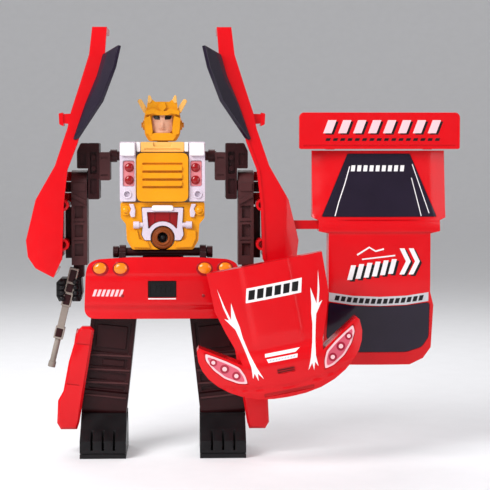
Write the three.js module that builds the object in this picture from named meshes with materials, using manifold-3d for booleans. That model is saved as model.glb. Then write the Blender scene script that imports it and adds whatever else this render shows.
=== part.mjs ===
// A robot toy that folds into a 1:32 sports car, standing in robot form.
// Millimetres, +Z up, the robot facing -Y, its left hand on +X.
// The car's sides are the wings on its arms, its tail is the skirt, its nose is the shield in the
// left hand, and its roof is clipped to the left wing.
import * as THREE from "three";
import { mergeVertices } from "three/addons/utils/BufferGeometryUtils.js";
import Module from "manifold-3d";

const wasm = await Module();
wasm.setup();

// ---------------------------------------------------------------- driving dimensions
const GAP = 0.3;                 // clearance between touching pieces
const WALL = 2.2;                // moulded wall thickness
const SKIN = 1.8;                // wall of the thin car shells
const DEG = Math.PI / 180;

const FLOOR = 0;
const TORSO_HALF = 15.4;         // half the torso's width
const TORSO_FRONT = -4;
const TORSO_BACK = 11;
const CHEST_BOTTOM = 94.3;
const SHOULDERS = 116.2;         // top of the torso
const WAIST = 77.3;              // bottom of the torso

const SHOULDER = { y: 2, z: 111 };
const ELBOW = { y: 2, z: 100 };
const UPPER_ARM = { inner: 19.4, step: 23.4, outer: 27.6, guard: 31.6, top: 115.8 };
const ARM_INNER = 28;            // inner face of the forearm
const ARM_OUTER = 33.8;
const FOREARM_BOTTOM = 70.6;
const PANEL_HINGE = { x: 35.6, y: 6 };
const KNUCKLE = { low: 97.4, high: 101.2, radius: 1.5 };
const NOZZLE = { z: 80.9, radius: 4.2, bore: 2.1, front: -7.4 };
const BAR = { y: -2.4, z: 75.4, half: 18.5 };   // hinge bar of the skirt

const HIP = { x: 17.7, y: 3, z: 57 };
const SPLAY = 6.2 * DEG;         // how far the legs stand apart
const LEG_HALF = 8.4;
const ANKLE_DROP = 40.4;         // hip to ankle along the leg

const FRONT_WHEEL = { x: 42, y: 9, z: 82, radius: 9.5, width: 6 };
const REAR_WHEEL = { x: 11.1, y: 2, z: -24, radius: 9, width: 4.2 };   // in the leg's frame
const AXLE_RADIUS = 1.3;

const FIST = { bottom: 57, top: 65.5 };
const GRIP = { x: 34.85, z: 61, tilt: 13.6 * DEG, side: 3.5, y: -1.7 };

const HOOD = { x: 41.4, z: 47.3, roll: 11 * DEG, front: -39, bonnetFront: -37, back: -25.5 };
const ROOF_X = 79.8;             // centre line of the roof shell
const ROOF_BASE = -3;
const CLIP = { tip: 47.2, front: -7, back: -4, low: 84, high: 87.2 };   // the roof's tab in the left wing

// ---------------------------------------------------------------- colours
const RED = [0xd8101c, 0.25, 0];
const YELLOW = [0xf0a818, 0.35, 0];
const WHITE = [0xe6dede, 0.4, 0];
const MAROON = [0x4a1c20, 0.45, 0];
const BLACK = [0x18151a, 0.4, 0];
const GLASS = [0x1c1620, 0.12, 0];
const ORANGE = [0xf88820, 0.2, 0];
const DARK_RED = [0xa01018, 0.25, 0];
const SKIN_TONE = [0xe8b898, 0.45, 0];
const PINK_WHITE = [0xf6ccd0, 0.2, 0];
const TYRE = [0x161616, 0.8, 0];
const SILVER = [0xc0c0c4, 0.3, 0.8];
const BOARD = [0x1f6b35, 0.6, 0];
const STEEL = [0xa8a8ac, 0.3, 1];

// ---------------------------------------------------------------- solids
function toSolid(geometry) {
  geometry.deleteAttribute("normal");
  geometry.deleteAttribute("uv");
  const merged = mergeVertices(geometry, 1e-4);
  return new wasm.Manifold(new wasm.Mesh({
    numProp: 3,
    vertProperties: new Float32Array(merged.attributes.position.array),
    triVerts: new Uint32Array(merged.index.array),
  }));
}

function toGeometry(solid) {
  const mesh = solid.getMesh();
  const geometry = new THREE.BufferGeometry();
  geometry.setAttribute("position", new THREE.BufferAttribute(new Float32Array(mesh.vertProperties), 3));
  geometry.setIndex(new THREE.BufferAttribute(new Uint32Array(mesh.triVerts), 1));
  geometry.computeVertexNormals();
  return geometry;
}

function block(x0, x1, y0, y1, z0, z1) {
  const geometry = new THREE.BoxGeometry(x1 - x0, y1 - y0, z1 - z0);
  geometry.translate((x0 + x1) / 2, (y0 + y1) / 2, (z0 + z1) / 2);
  return toSolid(geometry);
}

function outlineOf(points) {
  return new THREE.Shape(points.map(([a, b]) => new THREE.Vector2(a, b)));
}

// The outline moved inward by amount along each edge's normal, with mitred corners.
function inset(points, amount) {
  const path = points.map(([x, z]) => new THREE.Vector2(x, z));
  const turn = Math.sign(THREE.ShapeUtils.area(path));
  return path.map((point, i) => {
    const before = path[(i + path.length - 1) % path.length];
    const after = path[(i + 1) % path.length];
    const a = point.clone().sub(before).normalize();
    const b = after.clone().sub(point).normalize();
    const miter = new THREE.Vector2(-a.y - b.y, a.x + b.x).normalize();
    const reach = turn * amount / miter.dot(new THREE.Vector2(-a.y, a.x));
    return [point.x + miter.x * reach, point.y + miter.y * reach];
  });
}

// An outline drawn in X and Z, extruded from y0 back to y1, with its edges chamfered by bevel.
function frontSlab(outline, y0, y1, bevel = 0) {
  const shape = Array.isArray(outline) ? outlineOf(outline) : outline;
  const geometry = new THREE.ExtrudeGeometry(shape, {
    depth: y1 - y0 - 2 * bevel,
    bevelEnabled: bevel > 0,
    bevelThickness: bevel,
    bevelSize: bevel,
    bevelOffset: -bevel,
    bevelSegments: 1,
    curveSegments: 6,
  });
  geometry.translate(0, 0, bevel);
  geometry.rotateX(Math.PI / 2);
  geometry.translate(0, y1, 0);
  return toSolid(geometry);
}

// An outline drawn in Y and Z, extruded from x0 to x1.
function sideSlab(points, x0, x1) {
  const geometry = new THREE.ExtrudeGeometry(outlineOf(points), { depth: x1 - x0, bevelEnabled: false });
  geometry.rotateX(Math.PI / 2);
  geometry.rotateZ(Math.PI / 2);
  geometry.translate(x0, 0, 0);
  return toSolid(geometry);
}

function rodX(radius, x0, x1, y, z, sides = 20) {
  const geometry = new THREE.CylinderGeometry(radius, radius, x1 - x0, sides);
  geometry.rotateZ(Math.PI / 2);
  geometry.translate((x0 + x1) / 2, y, z);
  return toSolid(geometry);
}

function rodY(radius, y0, y1, x, z, sides = 20) {
  const geometry = new THREE.CylinderGeometry(radius, radius, y1 - y0, sides);
  geometry.translate(x, (y0 + y1) / 2, z);
  return toSolid(geometry);
}

function rodZ(radius, z0, z1, x, y, sides = 20) {
  const geometry = new THREE.CylinderGeometry(radius, radius, z1 - z0, sides);
  geometry.rotateX(Math.PI / 2);
  geometry.translate(x, y, (z0 + z1) / 2);
  return toSolid(geometry);
}

// A solid of revolution about the X axis, from a profile of [radius, x] points.
function turnedX(profile, sides) {
  const points = profile.map(([radius, x]) => new THREE.Vector2(radius, x));
  const geometry = new THREE.LatheGeometry([...points, points[0]], sides);
  geometry.rotateZ(-Math.PI / 2);
  return toSolid(geometry);
}

// A closed sheet between two rows of points, with its thickness along one direction.
function sheet(lower, upper, [dx, dy, dz]) {
  const count = lower.length;
  const rings = lower.map((point, i) => {
    const other = upper[i];
    return [point, other, [other[0] + dx, other[1] + dy, other[2] + dz],
      [point[0] + dx, point[1] + dy, point[2] + dz]];
  });
  const index = [];
  for (let i = 0; i < count - 1; i += 1) {
    for (let k = 0; k < 4; k += 1) {
      const a = 4 * i + k;
      const b = 4 * i + ((k + 1) % 4);
      index.push(a, b, a + 4, b, b + 4, a + 4);
    }
  }
  const last = 4 * (count - 1);
  index.push(0, 2, 1, 0, 3, 2, last, last + 1, last + 2, last, last + 2, last + 3);
  const geometry = new THREE.BufferGeometry();
  geometry.setAttribute("position", new THREE.Float32BufferAttribute(rings.flat(2), 3));
  geometry.setIndex(index);
  const solid = toSolid(geometry);
  if (solid.volume() > 0) {
    return solid;
  }
  geometry.setIndex(index.reverse());
  return toSolid(geometry);
}

function joined(first, ...others) {
  return others.reduce((sum, other) => sum.add(other), first);
}

function cut(first, ...others) {
  return others.reduce((rest, other) => rest.subtract(other), first);
}

// ---------------------------------------------------------------- scene helpers
function mesh(name, solid, [color, roughness, metalness]) {
  const material = new THREE.MeshStandardMaterial({ color, roughness, metalness });
  const node = new THREE.Mesh(toGeometry(solid), material);
  node.name = name;
  return node;
}

const SIDES = [["left", 1], ["right", -1]];

function sided(solid, side) {
  return side > 0 ? solid : solid.mirror([1, 0, 0]);
}

const toy = new THREE.Group();

// ---------------------------------------------------------------- torso
const TORSO = [[-TORSO_HALF, SHOULDERS], [TORSO_HALF, SHOULDERS], [TORSO_HALF, 94],
  [11.2, WAIST], [-11.2, WAIST], [-TORSO_HALF, 94]];

function torsoShell() {
  const shell = frontSlab(TORSO, TORSO_FRONT, TORSO_BACK);
  const cavity = frontSlab(inset(TORSO, 2.3), TORSO_FRONT + WALL, TORSO_BACK + 1)
    .subtract(block(-20, 20, -5, 20, WAIST, 80.6));
  return cut(shell, cavity,
    rodX(2.1, -TORSO_HALF - 1, TORSO_HALF + 1, SHOULDER.y, SHOULDER.z),
    rodZ(2.5, SHOULDERS - 4, SHOULDERS + 1, 0, 1),
    rodY(1.8, TORSO_FRONT - 1, TORSO_FRONT + 3, 0, NOZZLE.z),
    rodY(SCREW.shank + GAP, TORSO_BACK - 6, TORSO_BACK + 1, 0, SCREW.z));
}

const SCREW = { z: 79, shank: 0.8, head: 1.5 };
const CELL = { radius: 5.3, thickness: 5.4, y: 4.3, z: 87.2 };
const CELL_PLACES = [[1, -5.9], [2, 0], [3, 5.9]];
const SPEAKER = { x: -5.6, z: 103, radius: 5.6 };
const BUTTON = { x: 7.6, z: 104, radius: 3 };

function batteryDoor() {
  const door = frontSlab(TORSO, TORSO_BACK + GAP, TORSO_BACK + 2, 0.4);
  const holes = [rodY(BUTTON.radius + GAP, 10, 15, BUTTON.x, BUTTON.z),
    rodY(SCREW.shank + GAP, 10, 15, 0, SCREW.z, 16),
    rodY(SCREW.head + 0.4, TORSO_BACK + 1.2, 15, 0, SCREW.z, 16)];
  for (const [dx, dz] of [[0, 0], [2.4, 0], [-2.4, 0], [0, 2.4], [0, -2.4]]) {
    holes.push(rodY(0.7, 10, 15, SPEAKER.x + dx, SPEAKER.z + dz, 10));
  }
  return cut(door, ...holes);
}

function buildTorso() {
  toy.add(mesh("torso_shell", torsoShell(), WHITE));
  toy.add(mesh("battery_door", batteryDoor(), WHITE));
  const screw = joined(rodY(SCREW.head, 12.5, 13.2, 0, SCREW.z, 16),
    rodY(SCREW.shank, 7, 12.6, 0, SCREW.z, 12));
  toy.add(mesh("door_screw", screw, STEEL));
  for (const [number, x] of CELL_PLACES) {
    const cell = rodX(CELL.radius, x - CELL.thickness / 2, x + CELL.thickness / 2, CELL.y, CELL.z);
    toy.add(mesh(`button_cell_${number}`, cell, STEEL));
  }
  toy.add(mesh("sound_board", block(-11, 11, 0, 1.2, 94.5, 108.5), BOARD));
  toy.add(mesh("speaker", rodY(SPEAKER.radius, 7.4, 10.8, SPEAKER.x, SPEAKER.z), STEEL));
  const button = joined(rodY(BUTTON.radius, 9, 14.4, BUTTON.x, BUTTON.z),
    rodY(BUTTON.radius + 0.9, 8.2, 9.6, BUTTON.x, BUTTON.z));
  toy.add(mesh("sound_button", button, RED));
}

function chestPlate() {
  const shape = [[-7.4, 94.3], [7.4, 94.3], [9.4, 96.3], [9.4, 110.2], [7.4, 112.2],
    [-7.4, 112.2], [-9.4, 110.2], [-9.4, 96.3]];
  const grooves = [98, 101.2, 104.4, 107.6].map((z) => block(-6.8, 6.8, -11, -8.8, z - 0.5, z + 0.5));
  return cut(frontSlab(shape, -9.5, TORSO_FRONT - GAP, 0.8), ...grooves);
}

function chestBlock() {
  const base = frontSlab([[9.8, CHEST_BOTTOM], [15.7, CHEST_BOTTOM], [15.7, 116.3], [9.8, 116.3]],
    -7.8, TORSO_FRONT - GAP, 0.3);
  return joined(base, frontSlab([[10.1, 110.6], [15.4, 110.6], [15.4, 116], [10.1, 116]], -9, -7, 0.4));
}

function hipShell() {
  const shape = [[-11.4, 76.6], [11.4, 76.6], [13.3, 80], [13.6, 85.6], [15.5, 88], [15.5, 93.9],
    [-15.5, 93.9], [-15.5, 88], [-13.6, 85.6], [-13.3, 80]];
  return cut(frontSlab(shape, -6.6, TORSO_FRONT - GAP, 0.5), frontSlab(inset(BELLY, -GAP), -8, -4),
    rodY(NOZZLE.radius + GAP, -9, -3, 0, NOZZLE.z));
}

const BELLY = [[-4, 92.6], [4, 92.6], [4.4, 91.8], [7.3, 91.8], [7.6, 80.4], [4.6, 80.4], [-4.6, 80.4],
  [-7.6, 80.4], [-7.3, 91.8], [-4.4, 91.8]];
const BELLY_WINDOW = [[-5.7, 90.4], [5.7, 90.4], [5.4, 84.8], [4, 86.6], [2.2, 87.6], [0, 87.9],
  [-2.2, 87.6], [-4, 86.6], [-5.4, 84.8]];

function buildChest() {
  toy.add(mesh("chest_plate", chestPlate(), YELLOW));
  for (const [name, side] of SIDES) {
    toy.add(mesh(`chest_block_${name}`, sided(chestBlock(), side), WHITE));
  }
  const collar = cut(frontSlab([[-9.4, 112.5], [9.4, 112.5], [9.4, 116.3], [-9.4, 116.3]], -7.4, -4.3, 0.4),
    block(-3, 3, -8, -6.6, 114, 117));
  toy.add(mesh("collar", collar, YELLOW));
  toy.add(mesh("hip_shell", hipShell(), YELLOW));
  const frame = cut(frontSlab(BELLY, -7.4, TORSO_FRONT - GAP, 0.3),
    frontSlab(BELLY_WINDOW, -9, -3), rodY(NOZZLE.radius + GAP, -9, -3, 0, NOZZLE.z));
  toy.add(mesh("belly_frame", frame, WHITE));
  toy.add(mesh("belly_window", frontSlab(inset(BELLY_WINDOW, GAP), -6.6, TORSO_FRONT - GAP), DARK_RED));
  const nozzle = cut(rodY(NOZZLE.radius, NOZZLE.front, TORSO_FRONT - GAP, 0, NOZZLE.z, 28),
    rodY(NOZZLE.bore, -9, -3, 0, NOZZLE.z));
  toy.add(mesh("belly_nozzle", nozzle, DARK_RED));
  const lamp = rodY(1.4, -6.4, -2.6, 0, NOZZLE.z, 16);
  toy.add(mesh("belly_lamp", lamp, ORANGE));
}

// ---------------------------------------------------------------- head
function helmet() {
  const crown = [[-6.4, 121], [-6.6, 126.4], [-8.5, 129.4], [-8.2, 132], [-5.4, 129.6], [-4.2, 129],
    [-2.6, 131.4], [-1.6, 129.2], [1.6, 129.2], [2.6, 131.4], [4.2, 129], [5.4, 129.6], [8.2, 132],
    [8.5, 129.4], [6.6, 126.4], [6.4, 121]];
  const skull = [[-5.4, 116.9], [5.4, 116.9], [6.6, 119.4], [6.6, 126], [5.2, 128.6], [-5.2, 128.6],
    [-6.6, 126], [-6.6, 119.4]];
  const faceWell = frontSlab([[-3.9, 117.7], [3.9, 117.7], [3.9, 124.6], [-3.9, 124.6]], -8, -4.6);
  return joined(frontSlab(skull, -6.2, 7, 1), frontSlab(crown, -4.4, -1.6), rodZ(2.1, 113.6, 118, 0, 1))
    .subtract(faceWell);
}

function face() {
  const plate = frontSlab([[-2.4, 118], [2.4, 118], [3.5, 120], [3.5, 124.2], [-3.5, 124.2], [-3.5, 120]],
    -6.4, -4.9, 0.3);
  return joined(plate, frontSlab([[-0.5, 120.4], [0.5, 120.4], [0.3, 122.6], [-0.3, 122.6]], -7, -6));
}

function buildHead() {
  toy.add(mesh("helmet", helmet(), YELLOW));
  toy.add(mesh("face", face(), SKIN_TONE));
}

// ---------------------------------------------------------------- skirt: the car's tail
const TAIL = { front: -10, half: 29, bottom: 51, top: 73.5, corner: 6 };

function tailOutline(inset) {
  const half = TAIL.half - inset;
  const top = TAIL.top - inset;
  const bottom = TAIL.bottom + inset;
  const shape = new THREE.Shape();
  shape.moveTo(-half + 2, bottom);
  shape.lineTo(half - 2, bottom);
  shape.lineTo(half, bottom + 3);
  shape.lineTo(half, top - TAIL.corner);
  shape.quadraticCurveTo(half, top, half - TAIL.corner, top);
  shape.lineTo(TAIL.corner - half, top);
  shape.quadraticCurveTo(-half, top, -half, top - TAIL.corner);
  shape.lineTo(-half, bottom + 3);
  return shape;
}

function rearBumper() {
  const shell = frontSlab(tailOutline(0), TAIL.front, -4, 0.8);
  const hollow = frontSlab(tailOutline(2), TAIL.front + 2, -3);
  const topCut = block(-27, 27, TAIL.front + 2, -3, 60, 80);
  const lowCut = block(-27.6, 27.6, -6.2, -3, 40, 60);
  const plateWell = block(-5.3, 5.3, TAIL.front - 1, TAIL.front + 1.1, 58.9, 65.1);
  let bumper = cut(shell, hollow, topCut, lowCut, plateWell);
  for (const side of [-1, 1]) {
    const lug = joined(block(13.7, 16.1, TAIL.front + 1, BAR.y, 72.2, 75.6),
      rodX(2.6, 13.7, 16.1, BAR.y, BAR.z));
    bumper = bumper.add(sided(lug, side));
  }
  return bumper.subtract(rodX(1.95, -20, 20, BAR.y, BAR.z));
}

function tailLight(x) {
  const shape = new THREE.Shape();
  shape.absellipse(x, 69.6, 2.95, 2.1, 0, 2 * Math.PI);
  return frontSlab(shape, TAIL.front - 1.2, TAIL.front - GAP, 0.3);
}

function buildSkirt() {
  const bar = joined(rodX(1.6, -BAR.half + 2, BAR.half - 2, BAR.y, BAR.z),
    rodX(2.2, -BAR.half, -BAR.half + 2.1, BAR.y, BAR.z), rodX(2.2, BAR.half - 2.1, BAR.half, BAR.y, BAR.z));
  toy.add(mesh("hinge_bar", bar, MAROON));
  toy.add(mesh("rear_bumper", rearBumper(), RED));
  [-23, -15.6, 15.6, 23].forEach((x, i) => {
    toy.add(mesh(`tail_light_${i + 1}`, tailLight(x), ORANGE));
  });
  const plate = frontSlab([[-4.95, 59.2], [4.95, 59.2], [4.95, 64.8], [-4.95, 64.8]], -9.8, -9.2);
  toy.add(mesh("number_plate", plate, BLACK));
}

// ---------------------------------------------------------------- arms
function shoulderBlock() {
  const { inner, step, outer, top } = UPPER_ARM;
  const plate = cut(block(step, outer, -4, 8, 95, top),
    rodX(2 + GAP, step + 0.6, outer + 1, ELBOW.y, ELBOW.z),
    block(step + 1.2, outer - 0.6, -5, -2.8, 104, 112));
  const guard = block(outer - 0.2, UPPER_ARM.guard, -4, 0.4, ELBOW.z + 6.4, top);
  return joined(plate, guard, block(inner, step + 0.2, -3.4, 7, 102, 112.4),
    rodX(1.8, TORSO_HALF - 2, inner + 0.6, SHOULDER.y, SHOULDER.z));
}

function forearm() {
  const bar = joined(block(ARM_INNER, ARM_OUTER, -4, 7.4, FOREARM_BOTTOM, ELBOW.z),
    rodX(5.7, ARM_INNER, ARM_OUTER, 1.7, ELBOW.z),
    block(29.6, ARM_OUTER - 0.4, 1, 7, FIST.top + GAP, FOREARM_BOTTOM + 0.4),
    rodX(2, 24.5, ARM_INNER + 1, ELBOW.y, ELBOW.z));
  const recesses = [74, 81, 88].map((z) => block(29.4, 32.6, -5, -2.6, z, z + 4.6));
  const knuckle = joined(block(ARM_OUTER - 0.5, PANEL_HINGE.x, 4.8, 7.2, KNUCKLE.low, KNUCKLE.high),
    rodZ(KNUCKLE.radius, KNUCKLE.low, KNUCKLE.high, PANEL_HINGE.x, PANEL_HINGE.y, 16));
  return joined(cut(bar, ...recesses), knuckle);
}

// The bar that a fist grips, leaning out towards its foot, in the left hand's place.
function gripBar(up, down, thickness) {
  const geometry = new THREE.BoxGeometry(thickness, thickness, up + down);
  geometry.translate(0, 0, (up - down) / 2);
  geometry.rotateY(-GRIP.tilt);
  geometry.translate(GRIP.x, GRIP.y, GRIP.z);
  return toSolid(geometry);
}

function fist() {
  const palm = frontSlab([[30.8, FIST.bottom], [38.6, FIST.bottom], [39.6, FIST.bottom + 2],
    [39.6, FIST.top - 1.5], [38, FIST.top], [30.4, FIST.top], [30, FIST.bottom + 3]], -3.6, 7, 0.5);
  const fingers = [59.1, 61.2, 63.3].map((z) => block(29, 41, -5, -3.1, z - 0.25, z + 0.25));
  const slot = gripBar(20, 20, GRIP.side + 2 * GAP);
  return cut(palm, slot, slot.translate([0, -3, 0]), ...fingers);
}

// ---------------------------------------------------------------- wings: the car's sides
const WING_OUTER = [[40, 66.5], [46.7, 70], [49.5, 74], [50.2, 80], [46.4, 95], [39.2, 107.5], [34.6, 121],
  [33.3, 127], [30, 137], [26.5, 148], [25.3, 158]];
const WING_INNER = [[20, 158], [20.8, 147], [26.5, 131], [31, 116], [34.8, 106], [36.2, 94], [37, 73]];
const WING_FRONT = -11;
const WING_BACK = 11;

function sidePanel() {
  const full = frontSlab([...WING_OUTER, ...WING_INNER], WING_FRONT, WING_BACK, 0.7);
  const outer = WING_OUTER.map(([x, z]) => [x - WALL, z]);
  outer[0][1] += 2;
  outer[1][1] += 1;
  outer[outer.length - 1][1] -= 2;
  const hollow = frontSlab([...outer, [10, 156], [10, 68.5]], WING_FRONT + WALL, WING_BACK + 1);
  const arch = rodX(FRONT_WHEEL.radius + 1.5, 36, 60, FRONT_WHEEL.y, FRONT_WHEEL.z, 40);
  const clipHole = block(44, 52, CLIP.front - GAP, CLIP.back + GAP, CLIP.low - GAP, CLIP.high + GAP);
  const carrier = block(37, 38.4, WING_FRONT + 1, WING_BACK, 74, 90);
  const axle = rodX(AXLE_RADIUS, 38, FRONT_WHEEL.x + 2.6, FRONT_WHEEL.y, FRONT_WHEEL.z, 16);
  const bosses = [78.5, 93].map((z) => rodY(2.2, WING_FRONT + 2, 3, 36.6, z, 20));
  const armPlaces = [[92.6, KNUCKLE.low - GAP, 44.4], [KNUCKLE.high + GAP, 105, 39.4]];
  const arms = armPlaces.map(([z0, z1, x1]) => joined(
    block(PANEL_HINGE.x, x1, 4.8, 7.2, z0, z1),
    rodZ(KNUCKLE.radius, z0, z1, PANEL_HINGE.x, PANEL_HINGE.y, 16)));
  const mirror = frontSlab([[32, 122.6], [36.6, 123.2], [37.2, 126.2], [32, 127]], -9, -3.5, 0.5);
  return joined(cut(full, hollow, arch, clipHole), carrier, axle, ...bosses, ...arms, mirror);
}

function sideWindow() {
  const lower = [[31.4, -11.3, 116.8], [27, -11.3, 129.6], [22.6, -11.3, 140], [20.4, -11.3, 147.8]];
  const upper = [[30, -12.6, 117.6], [20.8, -17.8, 131], [16.2, -19, 143], [14.4, -19, 150.8]];
  return sheet(lower, upper, [1.2, -0.2, 0.3]);
}

function tyre(radius, width) {
  const half = width / 2;
  const bead = 0.66 * radius;
  return turnedX([[bead, -half], [radius - 0.9, -half], [radius, 0.7 - half], [radius, half - 0.7],
    [radius - 0.9, half], [bead, half]], 28);
}

function rim(radius, width) {
  const half = width / 2;
  const edge = 0.66 * radius - GAP;
  return turnedX([[AXLE_RADIUS + GAP, -half + 0.4], [edge, -half + 0.4], [edge, half - 0.4],
    [edge - 0.9, half - 0.4], [edge - 1.3, half - 1.4], [2.6, half - 1.4],
    [AXLE_RADIUS + GAP, half - 0.9]], 20);
}

function buildWheel(place, group, side, wheel) {
  const tyreMesh = mesh(`${place}_tyre`, tyre(wheel.radius, wheel.width), TYRE);
  const rimMesh = mesh(`${place}_rim`, sided(rim(wheel.radius, wheel.width), side), SILVER);
  for (const part of [tyreMesh, rimMesh]) {
    part.position.set(side * wheel.x, wheel.y, wheel.z);
    group.add(part);
  }
}

function buildArms() {
  for (const [name, side] of SIDES) {
    toy.add(mesh(`shoulder_block_${name}`, sided(shoulderBlock(), side), MAROON));
    toy.add(mesh(`forearm_${name}`, sided(forearm(), side), MAROON));
    toy.add(mesh(`fist_${name}`, sided(fist(), side), BLACK));
    toy.add(mesh(`side_panel_${name}`, sided(sidePanel(), side), RED));
    toy.add(mesh(`side_window_${name}`, sided(sideWindow(), side), GLASS));
    buildWheel(`front_${name}`, toy, side, FRONT_WHEEL);
  }
}

// ---------------------------------------------------------------- legs, each in its own leaning frame
function pelvis() {
  const trunk = block(-7.6, 7.6, -0.4, 9, 52, WAIST - GAP);
  const pins = rodX(2, -11.4, 11.4, HIP.y, HIP.z);
  return joined(trunk, pins);
}

function leg() {
  const column = joined(block(-LEG_HALF, LEG_HALF, -6, 6, -34, 0), rodX(6, -LEG_HALF, LEG_HALF, 0, 0, 32),
    block(-LEG_HALF, LEG_HALF, -5, 5, -ANKLE_DROP, -33), rodX(5, -LEG_HALF, LEG_HALF, 0, -ANKLE_DROP, 32));
  const grooves = [];
  for (let z = -8; z > -34; z -= 4) {
    grooves.push(block(-LEG_HALF - 1, 5.4, -7, -5.1, z - 0.6, z + 0.6));
  }
  const socket = rodX(3, -LEG_HALF - 1, -2, 0, 0);
  const axle = rodX(AXLE_RADIUS, LEG_HALF - 1, REAR_WHEEL.x + 1.8, REAR_WHEEL.y, REAR_WHEEL.z, 16);
  return joined(cut(column, socket, ...grooves), axle);
}

function bootFairing() {
  const toLeg = new THREE.Matrix4().makeRotationY(-SPLAY).setPosition(HIP.x, HIP.y, HIP.z).invert();
  const bar = [[25.5, 46.6], [26.8, 48], [30, 48], [31.4, 46.6], [34.9, 35], [37, 24], [39, 20.4],
    [39.4, 12], [38, 9.6], [32, 9.6], [31.2, 12], [29.6, 22], [27.4, 35]];
  const frontBar = toSolid(toGeometry(frontSlab(bar, -7.4, -3.3, 0.8)).applyMatrix4(toLeg));
  const well = rodX(REAR_WHEEL.radius + 0.8, 4, 30, REAR_WHEEL.y, REAR_WHEEL.z, 40);
  const arch = cut(rodX(REAR_WHEEL.radius + 2.4, LEG_HALF + GAP, 13.6, REAR_WHEEL.y, REAR_WHEEL.z, 40),
    well, block(0, 30, -20, 20, -60, REAR_WHEEL.z - 2));
  return joined(frontBar.subtract(well), arch);
}

function foot() {
  const profile = [[-15, FLOOR], [13, FLOOR], [13, 8], [9.4, 15], [-3.4, 15], [-8, 11], [-15, 6.4]];
  const body = sideSlab(profile, 13.6, 30.6);
  const channel = new THREE.CylinderGeometry(5.4, 5.4, 60, 32);
  channel.rotateZ(Math.PI / 2);
  channel.rotateY(-SPLAY);
  channel.translate(HIP.x + ANKLE_DROP * Math.sin(SPLAY), HIP.y, HIP.z - ANKLE_DROP * Math.cos(SPLAY));
  const toeGrooves = [18, 22.1, 26.2].map((x) => block(x - 0.4, x + 0.4, -16, -10, 3, 12));
  return cut(body, toSolid(channel), ...toeGrooves);
}

function buildLegs() {
  toy.add(mesh("pelvis", pelvis(), MAROON));
  for (const [name, side] of SIDES) {
    const group = new THREE.Group();
    group.position.set(side * HIP.x, HIP.y, HIP.z);
    group.rotation.y = -side * SPLAY;
    group.add(mesh(`leg_${name}`, sided(leg(), side), MAROON));
    group.add(mesh(`boot_fairing_${name}`, sided(bootFairing(), side), RED));
    buildWheel(`rear_${name}`, group, side, REAR_WHEEL);
    toy.add(group);
    toy.add(mesh(`foot_${name}`, sided(foot(), side), BLACK));
  }
}

// ---------------------------------------------------------------- rifle in the right hand
function rifle() {
  const grip = gripBar(8.6, 6, GRIP.side);
  const parts = [[-6, -10, 3.5], [-10, -14, 2.6], [-14, -18.4, 3.5], [-18.4, -29.4, 2.2]];
  return parts.reduce((sum, [top, low, thickness]) => {
    const geometry = new THREE.BoxGeometry(thickness, thickness, top - low + 0.2);
    geometry.translate(0, 0, (top + low) / 2);
    geometry.rotateY(-GRIP.tilt);
    geometry.translate(GRIP.x, GRIP.y, GRIP.z);
    return sum.add(toSolid(geometry));
  }, grip);
}

// ---------------------------------------------------------------- shield: the car's nose
const BONNET = [[-20.8, 26.8], [20.8, 26.8], [20.5, 13], [15.4, -3], [14.4, -10], [-14.4, -10], [-15.4, -3],
  [-20.5, 13]];
const NOSE_HALF = [[14.6, -7.4], [29, 1.6], [29.8, -3], [27.6, -9.4], [22.6, -14.8], [14.6, -19.2],
  [6, -21.3]];
const NOSE = [...NOSE_HALF, ...NOSE_HALF.map(([x, z]) => [-x, z]).reverse()];
const LAMP = [[26.6, -0.7], [15.7, -7.5], [13.7, -14.5], [19, -12.7], [24.7, -7.6], [26.9, -3.4]];

function placeHood(solid) {
  const geometry = toGeometry(solid);
  geometry.rotateY(-HOOD.roll);
  geometry.translate(HOOD.x, 0, HOOD.z);
  return toSolid(geometry);
}

function hoodShell() {
  const nose = frontSlab(NOSE, HOOD.front, HOOD.back, 1.6);
  const bonnet = frontSlab(BONNET, HOOD.bonnetFront, HOOD.bonnetFront + 7, 0.8);
  const noseHollow = frontSlab(inset(NOSE, SKIN), HOOD.front + 2.4, HOOD.back + 1);
  const bonnetHollow = frontSlab(inset(BONNET, SKIN), HOOD.bonnetFront + SKIN, HOOD.bonnetFront + 8);
  const scoop = block(-5.4, 5.4, HOOD.front - 1, HOOD.front + 1.2, -17.4, -14.6);
  const well = frontSlab(inset(LAMP, -GAP), HOOD.front - 1, HOOD.front + 1.3);
  const lampWells = [1, -1].map((side) => sided(well, side));
  const shell = placeHood(cut(joined(nose, bonnet), noseHollow, bonnetHollow, scoop, ...lampWells));
  const stem = block(GRIP.x - 1.2, GRIP.x + 1.2, HOOD.bonnetFront + 1, GRIP.y, GRIP.z - 2.2, GRIP.z + 2.2);
  return joined(shell, stem, gripBar(7, 7, GRIP.side));
}

function buildHood() {
  toy.add(mesh("hood_shell", hoodShell(), RED));
  for (const [name, side] of SIDES) {
    const lens = sided(frontSlab(LAMP, HOOD.front - 0.2, HOOD.front + 1), side);
    toy.add(mesh(`headlight_${name}`, placeHood(lens), PINK_WHITE));
  }
  toy.add(mesh("rifle", sided(rifle(), -1), MAROON));
}

// ---------------------------------------------------------------- the car's roof
const ROOF_LINE = [[-5, 33], [-6.4, 38], [-13.2, 57], [-14, 64], [-14, 80], [-13, 87], [-8, 113]];
const ROOF_HALF = [[12.4, 33], [17.4, 35.4], [20.2, 39.6], [20.2, 56], [18.8, 61], [18.8, 82.6],
  [22.4, 83.4], [22.4, 87.4], [24.6, 88.4], [24.6, 113]];

function roofProfile(offset) {
  return ROOF_LINE.map(([y, z]) => [y + offset, z]);
}

function roofOutline(inset) {
  const right = ROOF_HALF.map(([x, z]) => [x - inset, z]);
  const left = right.map(([x, z]) => [-x, z]).reverse();
  return [...right, ...left];
}

function roofBand(outer, inner) {
  return sideSlab([...roofProfile(outer), ...roofProfile(inner).reverse()], -26, 26);
}

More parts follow.
